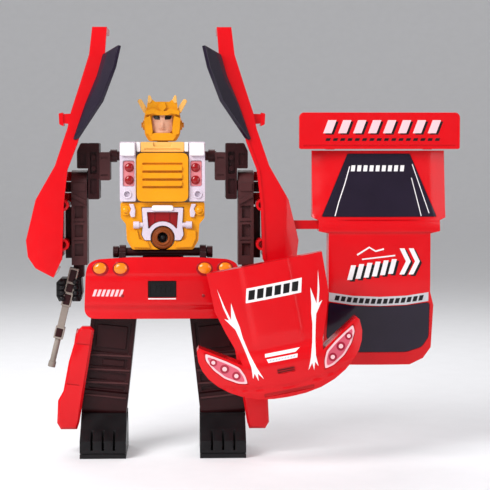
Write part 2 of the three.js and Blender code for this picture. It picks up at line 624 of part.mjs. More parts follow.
const WINDSHIELD = [[-11, 37.8], [11, 37.8], [16.6, 39.6], [19, 43.4], [18.2, 56], [-18.2, 56], [-19, 43.4],
  [-16.6, 39.6]];
const REAR_WINDOW = [[-21.4, 88.6], [21.4, 88.6], [11.6, 112], [-11.6, 112]];

function glazing(outline) {
  return frontSlab(inset(outline, GAP), -20, -4).intersect(roofBand(-0.1, 0.8));
}

function roofShell() {
  const solid = frontSlab(roofOutline(0), -20, ROOF_BASE)
    .intersect(sideSlab([...ROOF_LINE, [5, 113], [5, 33]], -26, 26));
  const inner = frontSlab(roofOutline(SKIN), -20, ROOF_BASE + 1)
    .intersect(sideSlab([...roofProfile(SKIN + 0.2), [5, 111.4], [5, 34.6]], -26, 26))
    .intersect(block(-30, 30, -20, 5, 34.6, 111.4));
  const wells = [frontSlab(WINDSHIELD, -20, -4).intersect(roofBand(-2, 1)),
    frontSlab(REAR_WINDOW, -20, -4).intersect(roofBand(-2, 1))];
  const clip = block(CLIP.tip - ROOF_X, -21.4, CLIP.front, CLIP.back, CLIP.low, CLIP.high);
  return joined(cut(solid, inner, ...wells), clip);
}

function rearWing() {
  const shape = [[-29.6, 113.6], [29.6, 113.6], [29, 127], [-29, 127]];
  const posts = [-18, 18].map((x) => block(x - 1.5, x + 1.5, -9, -4.4, 113.4, 116.4));
  return joined(frontSlab(shape, -11, -8.4, 0.7), ...posts);
}

function buildRoof() {
  const group = new THREE.Group();
  group.position.x = ROOF_X;
  group.add(mesh("roof_shell", roofShell(), RED));
  group.add(mesh("rear_wing", rearWing(), RED));
  group.add(mesh("windshield", glazing(WINDSHIELD), GLASS));
  group.add(mesh("rear_window", glazing(REAR_WINDOW), GLASS));
  toy.add(group);
}

buildTorso();
buildChest();
buildHead();
buildSkirt();
buildArms();
buildLegs();
buildHood();
buildRoof();

// The origin is the middle of the whole toy's footprint, on the floor.
toy.updateMatrixWorld(true);
const bounds = new THREE.Box3().setFromObject(toy);
toy.position.set(-(bounds.min.x + bounds.max.x) / 2, -(bounds.min.y + bounds.max.y) / 2, -bounds.min.z);

export default toy;
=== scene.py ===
from math import cos, exp, hypot, pi, radians, sin, tau

import bmesh
import bpy
from mathutils import Matrix, Vector
from mathutils.bvhtree import BVHTree


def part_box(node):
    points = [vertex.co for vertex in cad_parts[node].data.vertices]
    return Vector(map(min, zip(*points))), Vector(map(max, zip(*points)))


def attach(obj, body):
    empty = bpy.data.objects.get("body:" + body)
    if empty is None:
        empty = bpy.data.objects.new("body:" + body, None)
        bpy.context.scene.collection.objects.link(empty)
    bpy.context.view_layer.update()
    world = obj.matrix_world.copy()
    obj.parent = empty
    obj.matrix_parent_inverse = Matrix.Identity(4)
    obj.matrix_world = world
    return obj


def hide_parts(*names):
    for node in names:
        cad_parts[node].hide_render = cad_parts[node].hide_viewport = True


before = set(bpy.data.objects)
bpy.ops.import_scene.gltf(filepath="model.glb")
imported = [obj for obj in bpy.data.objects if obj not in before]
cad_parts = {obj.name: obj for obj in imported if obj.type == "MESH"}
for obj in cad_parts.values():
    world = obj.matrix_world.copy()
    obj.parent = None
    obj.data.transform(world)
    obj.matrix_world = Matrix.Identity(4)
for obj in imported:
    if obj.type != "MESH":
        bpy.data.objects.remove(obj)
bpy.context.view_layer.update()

# ---- the toy's own frame
# Shapes are drawn in millimetres about the robot's centre line, with Z up from the floor,
# the robot facing -Y and its left hand on +X.
MM = 0.001
torso_low, torso_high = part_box("torso_shell")
ORIGIN = Vector(((torso_low.x + torso_high.x) / 2, torso_high.y - 11 * MM, 0.0))
TO_WORLD = Matrix.Translation(ORIGIN) @ Matrix.Scale(MM, 4)

SIDES = (("left", 1), ("right", -1))


# ---- materials
def node_material(name):
    material = bpy.data.materials.new(name)
    material.use_nodes = True
    nodes = material.node_tree.nodes
    return material, nodes, material.node_tree.links, nodes["Principled BSDF"]


def set_inputs(node, values):
    for name, value in values.items():
        node.inputs[name].default_value = value


def noise(nodes, links, scale, detail=3.0):
    place = nodes.new("ShaderNodeTexCoord")
    texture = nodes.new("ShaderNodeTexNoise")
    set_inputs(texture, {"Scale": scale, "Detail": detail})
    links.new(place.outputs["Object"], texture.inputs["Vector"])
    return texture.outputs["Fac"]


def between(nodes, links, factor, low, high):
    """A colour or number that runs from low to high as factor crosses its middle third."""
    ramp = nodes.new("ShaderNodeValToRGB")
    for stop, place, colour in zip(ramp.color_ramp.elements, (0.35, 0.65), (low, high)):
        stop.position = place
        stop.color = (*colour, 1.0)
    links.new(factor, ramp.inputs["Fac"])
    return ramp.outputs["Color"]


def shade(colour, amount):
    return tuple(min(1.0, channel * amount) for channel in colour)


def moulded_plastic(name, colour, rough, mottle=0.06, peel=0.05, coat=0.0, grain=1400.0):
    """Injection-moulded plastic: slight flow mottling, uneven gloss and a fine orange peel."""
    material, nodes, links, shader = node_material(name)
    flow = noise(nodes, links, 90.0, 4.0)
    links.new(between(nodes, links, flow, shade(colour, 1 - mottle), shade(colour, 1 + mottle)),
              shader.inputs["Base Color"])
    haze = noise(nodes, links, 260.0, 5.0)
    low, high = max(rough - 0.05, 0.02), rough + 0.07
    links.new(between(nodes, links, haze, (low,) * 3, (high,) * 3), shader.inputs["Roughness"])
    bump = nodes.new("ShaderNodeBump")
    set_inputs(bump, {"Strength": peel, "Distance": 0.0002})
    links.new(noise(nodes, links, grain, 2.0), bump.inputs["Height"])
    links.new(bump.outputs["Normal"], shader.inputs["Normal"])
    set_inputs(shader, {"Specular IOR Level": 0.2, "Coat Weight": coat, "Coat Roughness": 0.08})
    return material


def brushed_metal(name, colour, rough):
    material, nodes, links, shader = node_material(name)
    shader.inputs["Metallic"].default_value = 1.0
    stretch = nodes.new("ShaderNodeMapping")
    stretch.inputs["Scale"].default_value = (1.0, 1.0, 30.0)
    place = nodes.new("ShaderNodeTexCoord")
    links.new(place.outputs["Object"], stretch.inputs["Vector"])
    texture = nodes.new("ShaderNodeTexNoise")
    texture.inputs["Scale"].default_value = 300.0
    links.new(stretch.outputs["Vector"], texture.inputs["Vector"])
    links.new(between(nodes, links, texture.outputs["Fac"], shade(colour, 0.85), colour),
              shader.inputs["Base Color"])
    links.new(between(nodes, links, texture.outputs["Fac"], (rough,) * 3, (rough + 0.15,) * 3),
              shader.inputs["Roughness"])
    return material


# each look: the record's material slot, then its own name, colour and roughness; a plastic's row goes on
# with its mottle, orange peel, clear coat and grain
LOOKS = {
    "red": ("red_plastic", "red_plastic", (0.60, 0.002, 0.006), 0.2, 0.025, 0.015, 0.18, 700.0),
    "yellow": ("yellow_plastic", "yellow_plastic", (0.72, 0.28, 0.005), 0.3, 0.06, 0.05, 0.2),
    "white": ("white_plastic", "white_plastic", (0.78, 0.74, 0.75), 0.35, 0.03, 0.04),
    # painted shade: a darker, pinker copy of the white plastic, for white parts that sit in shade
    "lavender": ("white_plastic", "side_block_plastic", (0.60, 0.52, 0.60), 0.35, 0.05, 0.05),
    "rose": ("dark_red_lens", "recess_paint", (0.62, 0.20, 0.22), 0.4, 0.08, 0.04),
    "pale": ("yellow_plastic", "horn_paint", (0.78, 0.42, 0.11), 0.35, 0.06, 0.05),
    "maroon": ("maroon_plastic", "maroon_plastic", (0.024, 0.004, 0.005), 0.36, 0.2, 0.06),
    "umber": ("maroon_plastic", "umber_plastic", (0.062, 0.020, 0.021), 0.38, 0.15, 0.06),
    "black": ("black_plastic", "black_plastic", (0.008, 0.007, 0.008), 0.35, 0.2, 0.1),
    "glazing": ("dark_glazing", "glazing_plastic", (0.012, 0.007, 0.018), 0.14, 0.1, 0.01, 0.25),
    "amber": ("amber_lens", "amber_lens", (0.90, 0.21, 0.006), 0.15, 0.06, 0.02, 0.6),
    "dark_red": ("dark_red_lens", "dark_red_lens", (0.27, 0.005, 0.007), 0.18, 0.1, 0.02, 0.5),
    "lens": ("headlight_lens", "headlight_print", (0.88, 0.52, 0.55), 0.2, 0.03, 0.02, 0.4),
    "face": ("face_paint", "face_paint", (0.62, 0.33, 0.22), 0.45, 0.05, 0.05),
    "rubber": ("tyre_rubber", "tyre_rubber", (0.014, 0.014, 0.015), 0.75, 0.2, 0.3),
    "silver": ("rim_silver", "silver_paint", (0.50, 0.50, 0.52), 0.3, 0.06, 0.08, 0.2),
    "steel": ("steel", "plain_steel", (0.60, 0.60, 0.62), 0.25),
    "board": ("circuit_board", "circuit_board", (0.02, 0.16, 0.05), 0.45, 0.25, 0.2),
    "bronze": ("dark_red_lens", "nozzle_paint", (0.22, 0.048, 0.008), 0.35, 0.12, 0.08),
    "pink": ("headlight_lens", "headlight_inside", (0.62, 0.09, 0.14), 0.2, 0.06, 0.02, 0.4),
    "ruby": ("headlight_lens", "headlight_lamp", (0.34, 0.006, 0.03), 0.2, 0.1, 0.02, 0.5),
    "gunmetal": ("maroon_plastic", "rifle_edges", (0.26, 0.22, 0.19), 0.38, 0.15, 0.1),
}
METALS = ("steel",)
MATERIALS = {look: (brushed_metal if look in METALS else moulded_plastic)(*values)
             for look, (_, *values) in LOOKS.items()}


# ---- mesh tools, all in toy millimetres
def slab(outline, front, back):
    """An outline in X and Z, made solid from y = front to y = back."""
    bm = bmesh.new()
    base = [bm.verts.new((x, front, z)) for x, z in outline]
    rear = [bm.verts.new((x, back, z)) for x, z in outline]
    bm.faces.new(base)
    bm.faces.new(rear[::-1])
    for i in range(len(base)):
        k = (i + 1) % len(base)
        bm.faces.new((base[i], rear[i], rear[k], base[k]))
    bmesh.ops.recalc_face_normals(bm, faces=bm.faces)
    return bm


def in_scene(name, data):
    """A new object in the scene, with that data."""
    thing = bpy.data.objects.new(name, data)
    bpy.context.scene.collection.objects.link(thing)
    return thing


def as_mesh(name, bm):
    """The shape as a finished mesh; the working copy is freed."""
    mesh = bpy.data.meshes.new(name)
    bm.to_mesh(mesh)
    bm.free()
    return mesh


def outward(bm):
    """The shape with its faces turned outward."""
    bmesh.ops.recalc_face_normals(bm, faces=bm.faces)
    return bm


def turned(bm, matrix):
    bmesh.ops.transform(bm, matrix=matrix, verts=bm.verts)
    return bm


def side_slab(outline, x0, x1):
    """An outline in Y and Z, made solid from x0 to x1."""
    bm = slab(outline, x0, x1)
    for vert in bm.verts:
        vert.co = (vert.co.y, vert.co.x, vert.co.z)
    return outward(bm)


def box(x0, x1, y0, y1, z0, z1):
    return slab([(x0, z0), (x1, z0), (x1, z1), (x0, z1)], y0, y1)


def rod(start, end, radius, tip=None, sides=32):
    """A round bar between two points, tapering to the tip radius if one is given."""
    start, end = Vector(start), Vector(end)
    bm = bmesh.new()
    bmesh.ops.create_cone(bm, cap_ends=True, segments=sides, radius1=radius, radius2=radius
                          if tip is None else tip, depth=(end - start).length)
    lean = Vector((0, 0, 1)).rotation_difference(end - start).to_matrix().to_4x4()
    return turned(bm, Matrix.Translation((start + end) / 2) @ lean)


def peg(x, z, y0, y1, radius, tip=None):
    """A round bar along Y."""
    return rod((x, y0, z), (x, y1, z), radius, tip)


def pivot(x0, x1, y, z, radius, tip=None, sides=32):
    """A round bar along X."""
    return rod((x0, y, z), (x1, y, z), radius, tip, sides)


def ball(centre, radius, squash=(1, 1, 1), detail=24):
    bm = bmesh.new()
    bmesh.ops.create_uvsphere(bm, u_segments=detail, v_segments=detail // 2, radius=radius)
    return turned(bm, Matrix.Translation(centre) @ Matrix.Diagonal((*squash, 1)))


def lathe(profile, matrix, sides=48):
    """A closed profile of (radius, x) turned about the X axis, then placed."""
    bm = bmesh.new()
    rings = []
    for i in range(sides):
        angle = 2 * pi * i / sides
        rings.append([bm.verts.new((x, radius * cos(angle), radius * sin(angle))) for radius, x in profile])
    for ring_here, following in zip(rings, rings[1:] + rings[:1]):
        ring_faces(bm, ring_here, following)
    return turned(outward(bm), matrix)


def ring_faces(bm, row, following):
    """The band of faces between two closed rows of points."""
    for k in range(len(row)):
        n = (k + 1) % len(row)
        bm.faces.new((row[k], row[n], following[n], following[k]))


def loft(sections):
    """A closed skin over a row of equal closed sections, with flat ends."""
    bm = bmesh.new()
    rows = [[bm.verts.new(point) for point in section] for section in sections]
    for row, following in zip(rows, rows[1:]):
        ring_faces(bm, row, following)
    bm.faces.new(rows[0][::-1])
    bm.faces.new(rows[-1])
    return outward(bm)


def mirrored(bm, side):
    if side < 0:
        turned(bm, Matrix.Diagonal((-1, 1, 1, 1)))
        bmesh.ops.reverse_faces(bm, faces=bm.faces)
    return bm


def pair(draw):
    """The shape that draw() makes on the robot's left, and its mirror image on the right."""
    return [mirrored(draw(), side) for _, side in SIDES]


def together(*parts):
    """Several solids in one mesh, left as they are."""
    whole = bmesh.new()
    for part in parts:
        copy = as_mesh("part", part)
        whole.from_mesh(copy)
        bpy.data.meshes.remove(copy)
    return whole


def boolean(base, tools, operation):
    objects = [in_scene("boolean", as_mesh("boolean", bm)) for bm in (base, together(*tools))]
    step = objects[0].modifiers.new("boolean", "BOOLEAN")
    step.object = objects[1]
    step.operation = operation
    step.solver = "EXACT"
    step.use_self = True
    result = objects[0].evaluated_get(bpy.context.evaluated_depsgraph_get())
    whole = bmesh.new()
    whole.from_mesh(result.to_mesh())
    for thing in objects:
        mesh = thing.data
        bpy.data.objects.remove(thing)
        bpy.data.meshes.remove(mesh)
    bmesh.ops.remove_doubles(whole, verts=whole.verts, dist=0.002)
    bmesh.ops.dissolve_degenerate(whole, edges=whole.edges, dist=0.002)
    return whole


def carve(base, *tools):
    return boolean(base, tools, "DIFFERENCE")


def weld(base, *tools):
    return boolean(base, tools, "UNION")


def common(base, tool):
    return boolean(base, [tool], "INTERSECT")


def cad_copy(node):
    """The CAD node's own solid, with its flat faces made whole."""
    bm = bmesh.new()
    bm.from_mesh(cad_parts[node].data)
    turned(bm, TO_WORLD.inverted())
    bmesh.ops.remove_doubles(bm, verts=bm.verts, dist=0.005)
    bmesh.ops.dissolve_limit(bm, angle_limit=radians(1), verts=bm.verts, edges=bm.edges)
    return bm


def arc(cx, cz, radius, start, end, steps=8, squash=1.0):
    """Points along an arc in X and Z, its angles in degrees."""
    points = []
    for i in range(steps + 1):
        angle = radians(start + (end - start) * i / steps)
        points.append((cx + radius * cos(angle), cz + squash * radius * sin(angle)))
    return points


def rounded(outline, radius, steps=4):
    """The outline with each corner replaced by an arc-like curve of that reach."""
    points = []
    count = len(outline)
    for i, corner in enumerate(outline):
        corner = Vector(corner)
        before = Vector(outline[i - 1]) - corner
        after = Vector(outline[(i + 1) % count]) - corner
        reach_in = min(radius, before.length * 0.49)
        reach_out = min(radius, after.length * 0.49)
        start = corner + before.normalized() * reach_in
        end = corner + after.normalized() * reach_out
        for k in range(steps + 1):
            t = k / steps
            points.append(tuple((1 - t) ** 2 * start + 2 * t * (1 - t) * corner + t * t * end))
    return points


def inset(outline, amount):
    """The outline moved inward by amount along each edge's normal."""
    area = sum(a[0] * b[1] - b[0] * a[1] for a, b in zip(outline, outline[1:] + outline[:1]))
    turn = 1 if area > 0 else -1
    points = []
    for i, corner in enumerate(outline):
        corner = Vector(corner)
        a = (corner - Vector(outline[i - 1])).normalized()
        b = (Vector(outline[(i + 1) % len(outline)]) - corner).normalized()
        miter = Vector((-a.y - b.y, a.x + b.x)).normalized()
        points.append(tuple(corner + miter * (turn * amount / max(0.3, miter.dot(Vector((-a.y, a.x)))))))
    return points


def relief(outline, height, back, step=1.0):
    """A solid inside an X-Z outline, from the surface y = height(x, z) back to y = back."""
    xs = [x for x, _ in outline]
    zs = [z for _, z in outline]
    x0, x1, z0, z1 = min(xs) - 1, max(xs) + 1, min(zs) - 1, max(zs) + 1
    columns = max(2, round((x1 - x0) / step))
    rows = max(2, round((z1 - z0) / step))
    bm = bmesh.new()
    grid = []
    for i in range(columns + 1):
        x = x0 + (x1 - x0) * i / columns
        grid.append([bm.verts.new((x, height(x, z0 + (z1 - z0) * k / rows), z0 + (z1 - z0) * k / rows))
                     for k in range(rows + 1)])
    for i in range(columns):
        for k in range(rows):
            bm.faces.new((grid[i][k], grid[i + 1][k], grid[i + 1][k + 1], grid[i][k + 1]))
    rim = bmesh.ops.extrude_edge_only(bm, edges=[e for e in bm.edges if e.is_boundary])
    moved = [v for v in rim["geom"] if isinstance(v, bmesh.types.BMVert)]
    for vert in moved:
        vert.co.y = back
    bmesh.ops.contextual_create(bm, geom=[e for e in bm.edges if e.is_boundary])
    return common(outward(bm), slab(outline, min(-60, back - 60), max(60, back + 60)))


def sunk(height, amount):
    """The same surface, moved back by amount."""
    return lambda x, z: height(x, z) + amount


def piece(name, bm, look, body, replaces=(), bevel=0.25, segments=3, angle=32):
    """A finished piece: rounded edges, smooth shading, its material, its body and what it stands for."""
    turned(bm, TO_WORLD)
    mesh = as_mesh(name, bm)
    thing = in_scene(name, mesh)
    mesh.materials.append(MATERIALS[look])
    mesh.polygons.foreach_set("use_smooth", [True] * len(mesh.polygons))
    mesh.set_sharp_from_angle(angle=radians(angle))
    if bevel:
        edge = thing.modifiers.new("edges", "BEVEL")
        edge.width = bevel * MM
        edge.segments = segments
        edge.limit_method = "ANGLE"
        edge.angle_limit = radians(angle)
        edge.harden_normals = True
    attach(thing, body)
    if replaces:
        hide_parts(*replaces)
    return thing


def one_side(name, side):
    """A maker of one side's pieces: it mirrors each shape, and puts the side's name for * in the names."""
    def add(label, bm, look, body, replaces=(), bevel=0.25, segments=3):
        label, body, *replaces = (text.replace("*", name) for text in (label, body, *replaces))
        piece(label, mirrored(bm, side), look, body, replaces, bevel, segments)
    return add


def surface_of(thing):
    """A lookup of where a line along Y, through a place in X and Z, first meets the piece."""
    whole = bmesh.new()
    whole.from_mesh(thing.data)
    turned(whole, TO_WORLD.inverted())
    tree = BVHTree.FromBMesh(whole)
    whole.free()

    def front(x, z):
        hit = tree.ray_cast(Vector((x, -80, z)), Vector((0, 1, 0)))
        return hit[0].y if hit[0] else None
    return front


def decal(outline, front, lift=0.05, depth=0.25, step=1.2):
    """A thin printed or raised shape laid on a surface that front(x, z) gives."""
    bm = bmesh.new()
    verts = [bm.verts.new((x, 0, z)) for x, z in outline]
    bmesh.ops.triangle_fill(bm, edges=[bm.edges.new((verts[i - 1], verts[i])) for i in range(len(verts))],
                            use_dissolve=False, use_beauty=True)
    for _ in range(5):
        long = [e for e in bm.edges if e.calc_length() > step]
        if not long:
            break
        bmesh.ops.subdivide_edges(bm, edges=long, cuts=1)
        bmesh.ops.triangulate(bm, faces=bm.faces)
    previous = -30.0
    for vert in bm.verts:
        depth_here = front(vert.co.x, vert.co.z)
        previous = previous if depth_here is None else depth_here
        vert.co.y = previous - lift
    grown = bmesh.ops.extrude_face_region(bm, geom=bm.faces[:])
    for part in grown["geom"]:
        if isinstance(part, bmesh.types.BMVert):
            part.co.y += depth
    return outward(bm)


# ---- the toy's layout, as in its CAD
# places
TORSO_FRONT = -4.3
NOZZLE_Z = 80.9
TAIL_FRONT = -9.6
BAR_Y, BAR_Z = -2.4, 75.4
SPEAKER_X, SPEAKER_Z = -5.6, 103
BUTTON_X, BUTTON_Z = 7.6, 104
SCREW_Z = 79
FRONT_WHEEL = Vector((42, 9, 82))
FRONT_AXLE = FRONT_WHEEL.yz
REAR_WHEEL = Vector((11.1, 2, -24))
LEG_PLACE = Matrix.Translation((17.7, 3, 57)) @ Matrix.Rotation(-radians(6.2), 4, "Y")
GRIP_PLACE = Matrix.Translation((34.85, -1.7, 61)) @ Matrix.Rotation(-radians(13.6), 4, "Y")
HOOD_PLACE = Matrix.Translation((41.4, 0, 47.3)) @ Matrix.Rotation(-radians(11), 4, "Y")
ROOF_X = 79.8
ROOF_PLACE = Matrix.Translation((ROOF_X, 0, 0))
IDENTITY = Matrix.Identity(4)
# sizes
GRIP_HALF = 1.75  # half the width of what a fist holds
WALL = 1.8  # of the car's shells
FRONT_TYRE = (9.5, 6)  # radius and width
REAR_TYRE = (9, 4.2)
PRINT_THICK = 0.22
UNDER_PRINT, TOP_PRINT = 0.05, 0.1  # how far a print stands out, and one laid over it
FAR_FRONT = -60  # in front of everything, where cutters start


def prints(name, outlines, surface, lift, look, body, place=IDENTITY, depth=PRINT_THICK, step=1.2):
    """Thin printed shapes laid on a surface, as one sharp-edged piece."""
    shapes = [decal(outline, surface, lift, depth, step) for outline in outlines]
    piece(name, turned(together(*shapes), place), look, body, bevel=0)


def carried(node, look, body, bevel=0.25):
    """The CAD node's own shape with its edges rounded."""
    return piece(f"{node}_body", cad_copy(node), look, body, (node,), bevel)


def both(outline):
    """A right-hand half outline closed with its mirror image."""
    return list(outline) + [(-x, z) for x, z in reversed(outline)]


def bar(x0, x1, z0, z1, radius):
    """The outline of a level bar with rounded corners."""
    return rounded([(x0, z0), (x1, z0), (x1, z1), (x0, z1)], radius)


def soft_slab(outline, radius, front, back):
    """An outline with rounded corners, made solid from y = front to y = back."""
    return slab(rounded(outline, radius), front, back)


def tile(x0, x1, z0, z1, radius, front, back):
    """A level bar with rounded corners, made solid from y = front to y = back."""
    return slab(bar(x0, x1, z0, z1, radius), front, back)


def slanted_bars(x0, x1, z0, z1, count, lean, fill=0.62):
    """Outlines of a row of leaning bars, in place of any lettering."""
    pitch = (x1 - x0) / count
    return [[(x0 + i * pitch, z0), (x0 + (i + fill) * pitch, z0), (x0 + (i + fill) * pitch + lean, z1),
             (x0 + i * pitch + lean, z1)] for i in range(count)]


def disc(x, z, radius, squash=1.0, steps=24):
    return arc(x, z, radius, 0, 360 - 360 / steps, steps - 1, squash)


def ring(x, y, z, outer, inner, depth):
    """A flat ring that faces forward."""
    return carve(peg(x, z, y, y + depth, outer), peg(x, z, y - 1, y + depth + 1, inner))


# ---- torso
def build_torso():
    carried("torso_shell", "white", "torso", 0.5)
    door = cad_copy("battery_door")
    catch = tile(-4, 4, 111.2, 112.8, 0.6, 12.5, 16)
    ribs = [tile(-10, 10, z, z + 0.8, 0.3, 12.6, 16) for z in (84, 86.4, 88.8)]
    piece("rear_door", carve(door, catch, *ribs), "white", "torso", ("battery_door",), 0.2)
    head = weld(peg(0, SCREW_Z, 12.4, 13, 1.5, 1.25), peg(0, SCREW_Z, 7, 12.6, 0.8))
    cross = [box(-1, 1, 12.7, 14, SCREW_Z - 0.2, SCREW_Z + 0.2),
             box(-0.2, 0.2, 12.7, 14, SCREW_Z - 1, SCREW_Z + 1)]
    piece("cross_screw", carve(head, *cross), "steel", "torso", ("door_screw",), 0.06)
    for number, x in enumerate((-5.9, 0, 5.9), 1):
        cell = weld(pivot(x - 2.7, x + 2.2, 4.3, 87.2, 5.3), pivot(x + 2, x + 2.7, 4.3, 87.2, 4.4))
        piece(f"cell_{number}", cell, "steel", "torso", (f"button_cell_{number}",), 0.3)
    chips = [box(-2, 3, -0.9, 0.3, 98, 103), box(5, 7.4, -0.5, 0.3, 99, 101), peg(8, 105, -0.6, 0.3, 1.2)]
    piece("board_and_chips", weld(cad_copy("sound_board"), *chips), "board", "torso", ("sound_board",), 0.1)
    cone = weld(peg(SPEAKER_X, SPEAKER_Z, 7.4, 10, 5.6, 5.2), ring(SPEAKER_X, 9.6, SPEAKER_Z, 5.4, 4.4, 1.2),
                ball((SPEAKER_X, 9.8, SPEAKER_Z), 1.8, (1, 0.5, 1)))
    piece("speaker_cone", cone, "steel", "torso", ("speaker",), 0.2)
    button = carve(cad_copy("sound_button"), ball((BUTTON_X, 16.4, BUTTON_Z), 2.6))
    piece("button_cap", button, "red", "sound_button", ("sound_button",), 0.2)


GROOVES = (108.2, 105.3, 102.4, 99.6)


def build_chest():
    plate = tile(-9.5, 9.5, 94.3, 112.2, 2.4, -8.7, TORSO_FRONT)
    grooves = [tile(-7.4, 7.4, z - 0.4, z + 0.4, 0.4, -12, -7.9) for z in GROOVES]
    slats = [tile(-7.2, 7.2, low + 0.5, high - 0.5, 0.7, -9.4, -8) for high, low in zip(GROOVES, GROOVES[1:])]
    piece("chest_plate_skin", weld(carve(plate, *grooves), *slats), "yellow", "torso", ("chest_plate",), 0.35)
    for name, side in SIDES:
        add = one_side(name, side)
        block = tile(9.8, 15.7, 94.3, 116.3, 0.6, -7.6, TORSO_FRONT)
        square = tile(10.1, 15.5, 111.1, 116, 0.7, -9, -6)
        well = tile(10.2, 14.6, 99.8, 109.4, 0.8, -12, -6.9)
        eye = peg(13, 97, -12, -6.9, 1.1)
        block = weld(carve(block, well, eye), ring(13, -8, 97, 1.6, 1.1, 1))
        # the side block is white plastic, coloured with the painted shade
        add("chest_side_*", block, "lavender", "torso", ("chest_block_*",), 0.3)
        add("chest_square_*", square, "white", "torso", bevel=0.35)
        floor = tile(10.4, 14.4, 100, 109.2, 0.7, -7.1, -6.8)
        add("chest_recess_*", floor, "rose", "torso", bevel=0)
        studs = together(ball((12.2, -7, 106.8), 1.7, (1, 0.6, 1)), ball((12.2, -7, 102.2), 1.7, (1, 0.6, 1)))
        add("chest_studs_*", studs, "dark_red", "torso", bevel=0)
        tip = tile(8.1, 9.6, 112.6, 116.2, 0.4, -7.3, TORSO_FRONT)
        add("collar_tip_*", tip, "white", "torso")
    collar = carve(tile(-8, 8, 112.5, 116.2, 0.5, -7.2, TORSO_FRONT),
                   tile(-3.4, 3.4, 114.4, 118, 0.8, -9, -6.4), tile(-6.6, 6.6, 113.2, 113.7, 0.2, -9, -6.8))
    piece("collar_bar", collar, "pale", "torso", ("collar",), 0.3)


def build_belly():
    half = [(11.2, 76.5), (13.2, 79.8), (13.6, 86), (15.5, 88.2), (15.5, 93.9)]
    shell = soft_slab(both(half), 0.7, -6.4, TORSO_FRONT)
    frame_shape = both([(6.6, 80), (7.7, 82), (7.2, 85.4), (7.6, 92)])
    shell = carve(shell, slab(inset(frame_shape, -0.25), -9, -5), peg(0, NOZZLE_Z, -9, -4, 4.6))
    jaw = pair(lambda: slab([(4.6, 77.2), (10.8, 77.4), (12.2, 80.6), (12.2, 83.6), (9.4, 83.6), (8.6, 80.4),
                             (5.6, 79.2)], -7.3, -6))
    lamps = pair(lambda: weld(peg(13.6, 91, -7.2, -6, 1.8), ball((13.6, -7.2, 91), 1.2, (1, 0.6, 1))))
    piece("hip_shell_skin", weld(shell, *jaw, *lamps), "yellow", "torso", ("hip_shell",))
    window = [(5.3, 84.4), (5.8, 90.4), (-5.8, 90.4), (-5.3, 84.4)] + arc(0, NOZZLE_Z, 6, 146, 34, 8)
    belly = carve(soft_slab(frame_shape, 0.5, -7.3, TORSO_FRONT), slab(window, -9, -3),
                  peg(0, NOZZLE_Z, -9, -3, 4.5))
    top = tile(-4, 4, 90.8, 92.9, 1, -8, -5)
    pins = pair(lambda: weld(pivot(7.2, 10.4, -6.6, 85.6, 0.9), pivot(8.6, 10.8, -6.6, 85.6, 1.35)))
    # the frame is white plastic, coloured with the painted shade; its top bar below keeps the full white, as
    # the lit top
    piece("belly_frame_skin", weld(belly, *pins), "lavender", "torso", ("belly_frame",), 0.3)
    piece("belly_brow", top, "white", "torso", bevel=0.3)
    claws = pair(lambda: slab([(10.2, 88.6), (11.6, 88.4), (12.2, 90), (11.6, 91.4), (12.4, 93.4),
                               (10.6, 93.4), (10, 91)], -7.4, -6.2))
    # the claws are white plastic, coloured with the painted shade
    piece("belly_claws", together(*claws), "lavender", "torso", bevel=0.3)
    grooves = [tile(x, x + 0.5, 83, 90, 0.2, -7, -5.9) for x in (-3, 2.5)]
    pane = carve(slab(inset(window, 0.15), -6.2, -4.4), *grooves)
    piece("belly_pane", pane, "dark_red", "torso", ("belly_window",), 0.15)
    nozzle = lathe([(2.1, 0), (2.6, -0.1), (2.9, 0.5), (3.6, 0.5), (4.2, 1), (4.2, 3), (1.9, 3), (1.9, 0.6)],
                   Matrix.Translation((0, -7.35, NOZZLE_Z)) @ Matrix.Rotation(pi / 2, 4, "Z"))
    piece("belly_nozzle_ring", nozzle, "bronze", "torso", ("belly_nozzle",), 0.12)
    lamp = weld(peg(0, NOZZLE_Z, -5.4, -2.6, 1.4), ball((0, -5.3, NOZZLE_Z), 1.3))
    piece("belly_lamp_bulb", lamp, "black", "torso", ("belly_lamp",), 0)


# ---- head
def face_height(x, z):
    nose = 1.2 * exp(-(x / 0.6) ** 2) * exp(-((z - 122.3) / 1.2) ** 2)
    brow = 0.35 * exp(-((z - 124.6) / 0.6) ** 2)
    mouth = 0.7 * exp(-((z - 120.6) / 0.32) ** 2) * exp(-(x / 1.5) ** 4)
    chin = 0.45 * exp(-((z - 119.8) / 0.6) ** 2) * exp(-(x / 1.6) ** 2)
    return -5.5 + 0.06 * x * x - nose - brow - chin + mouth


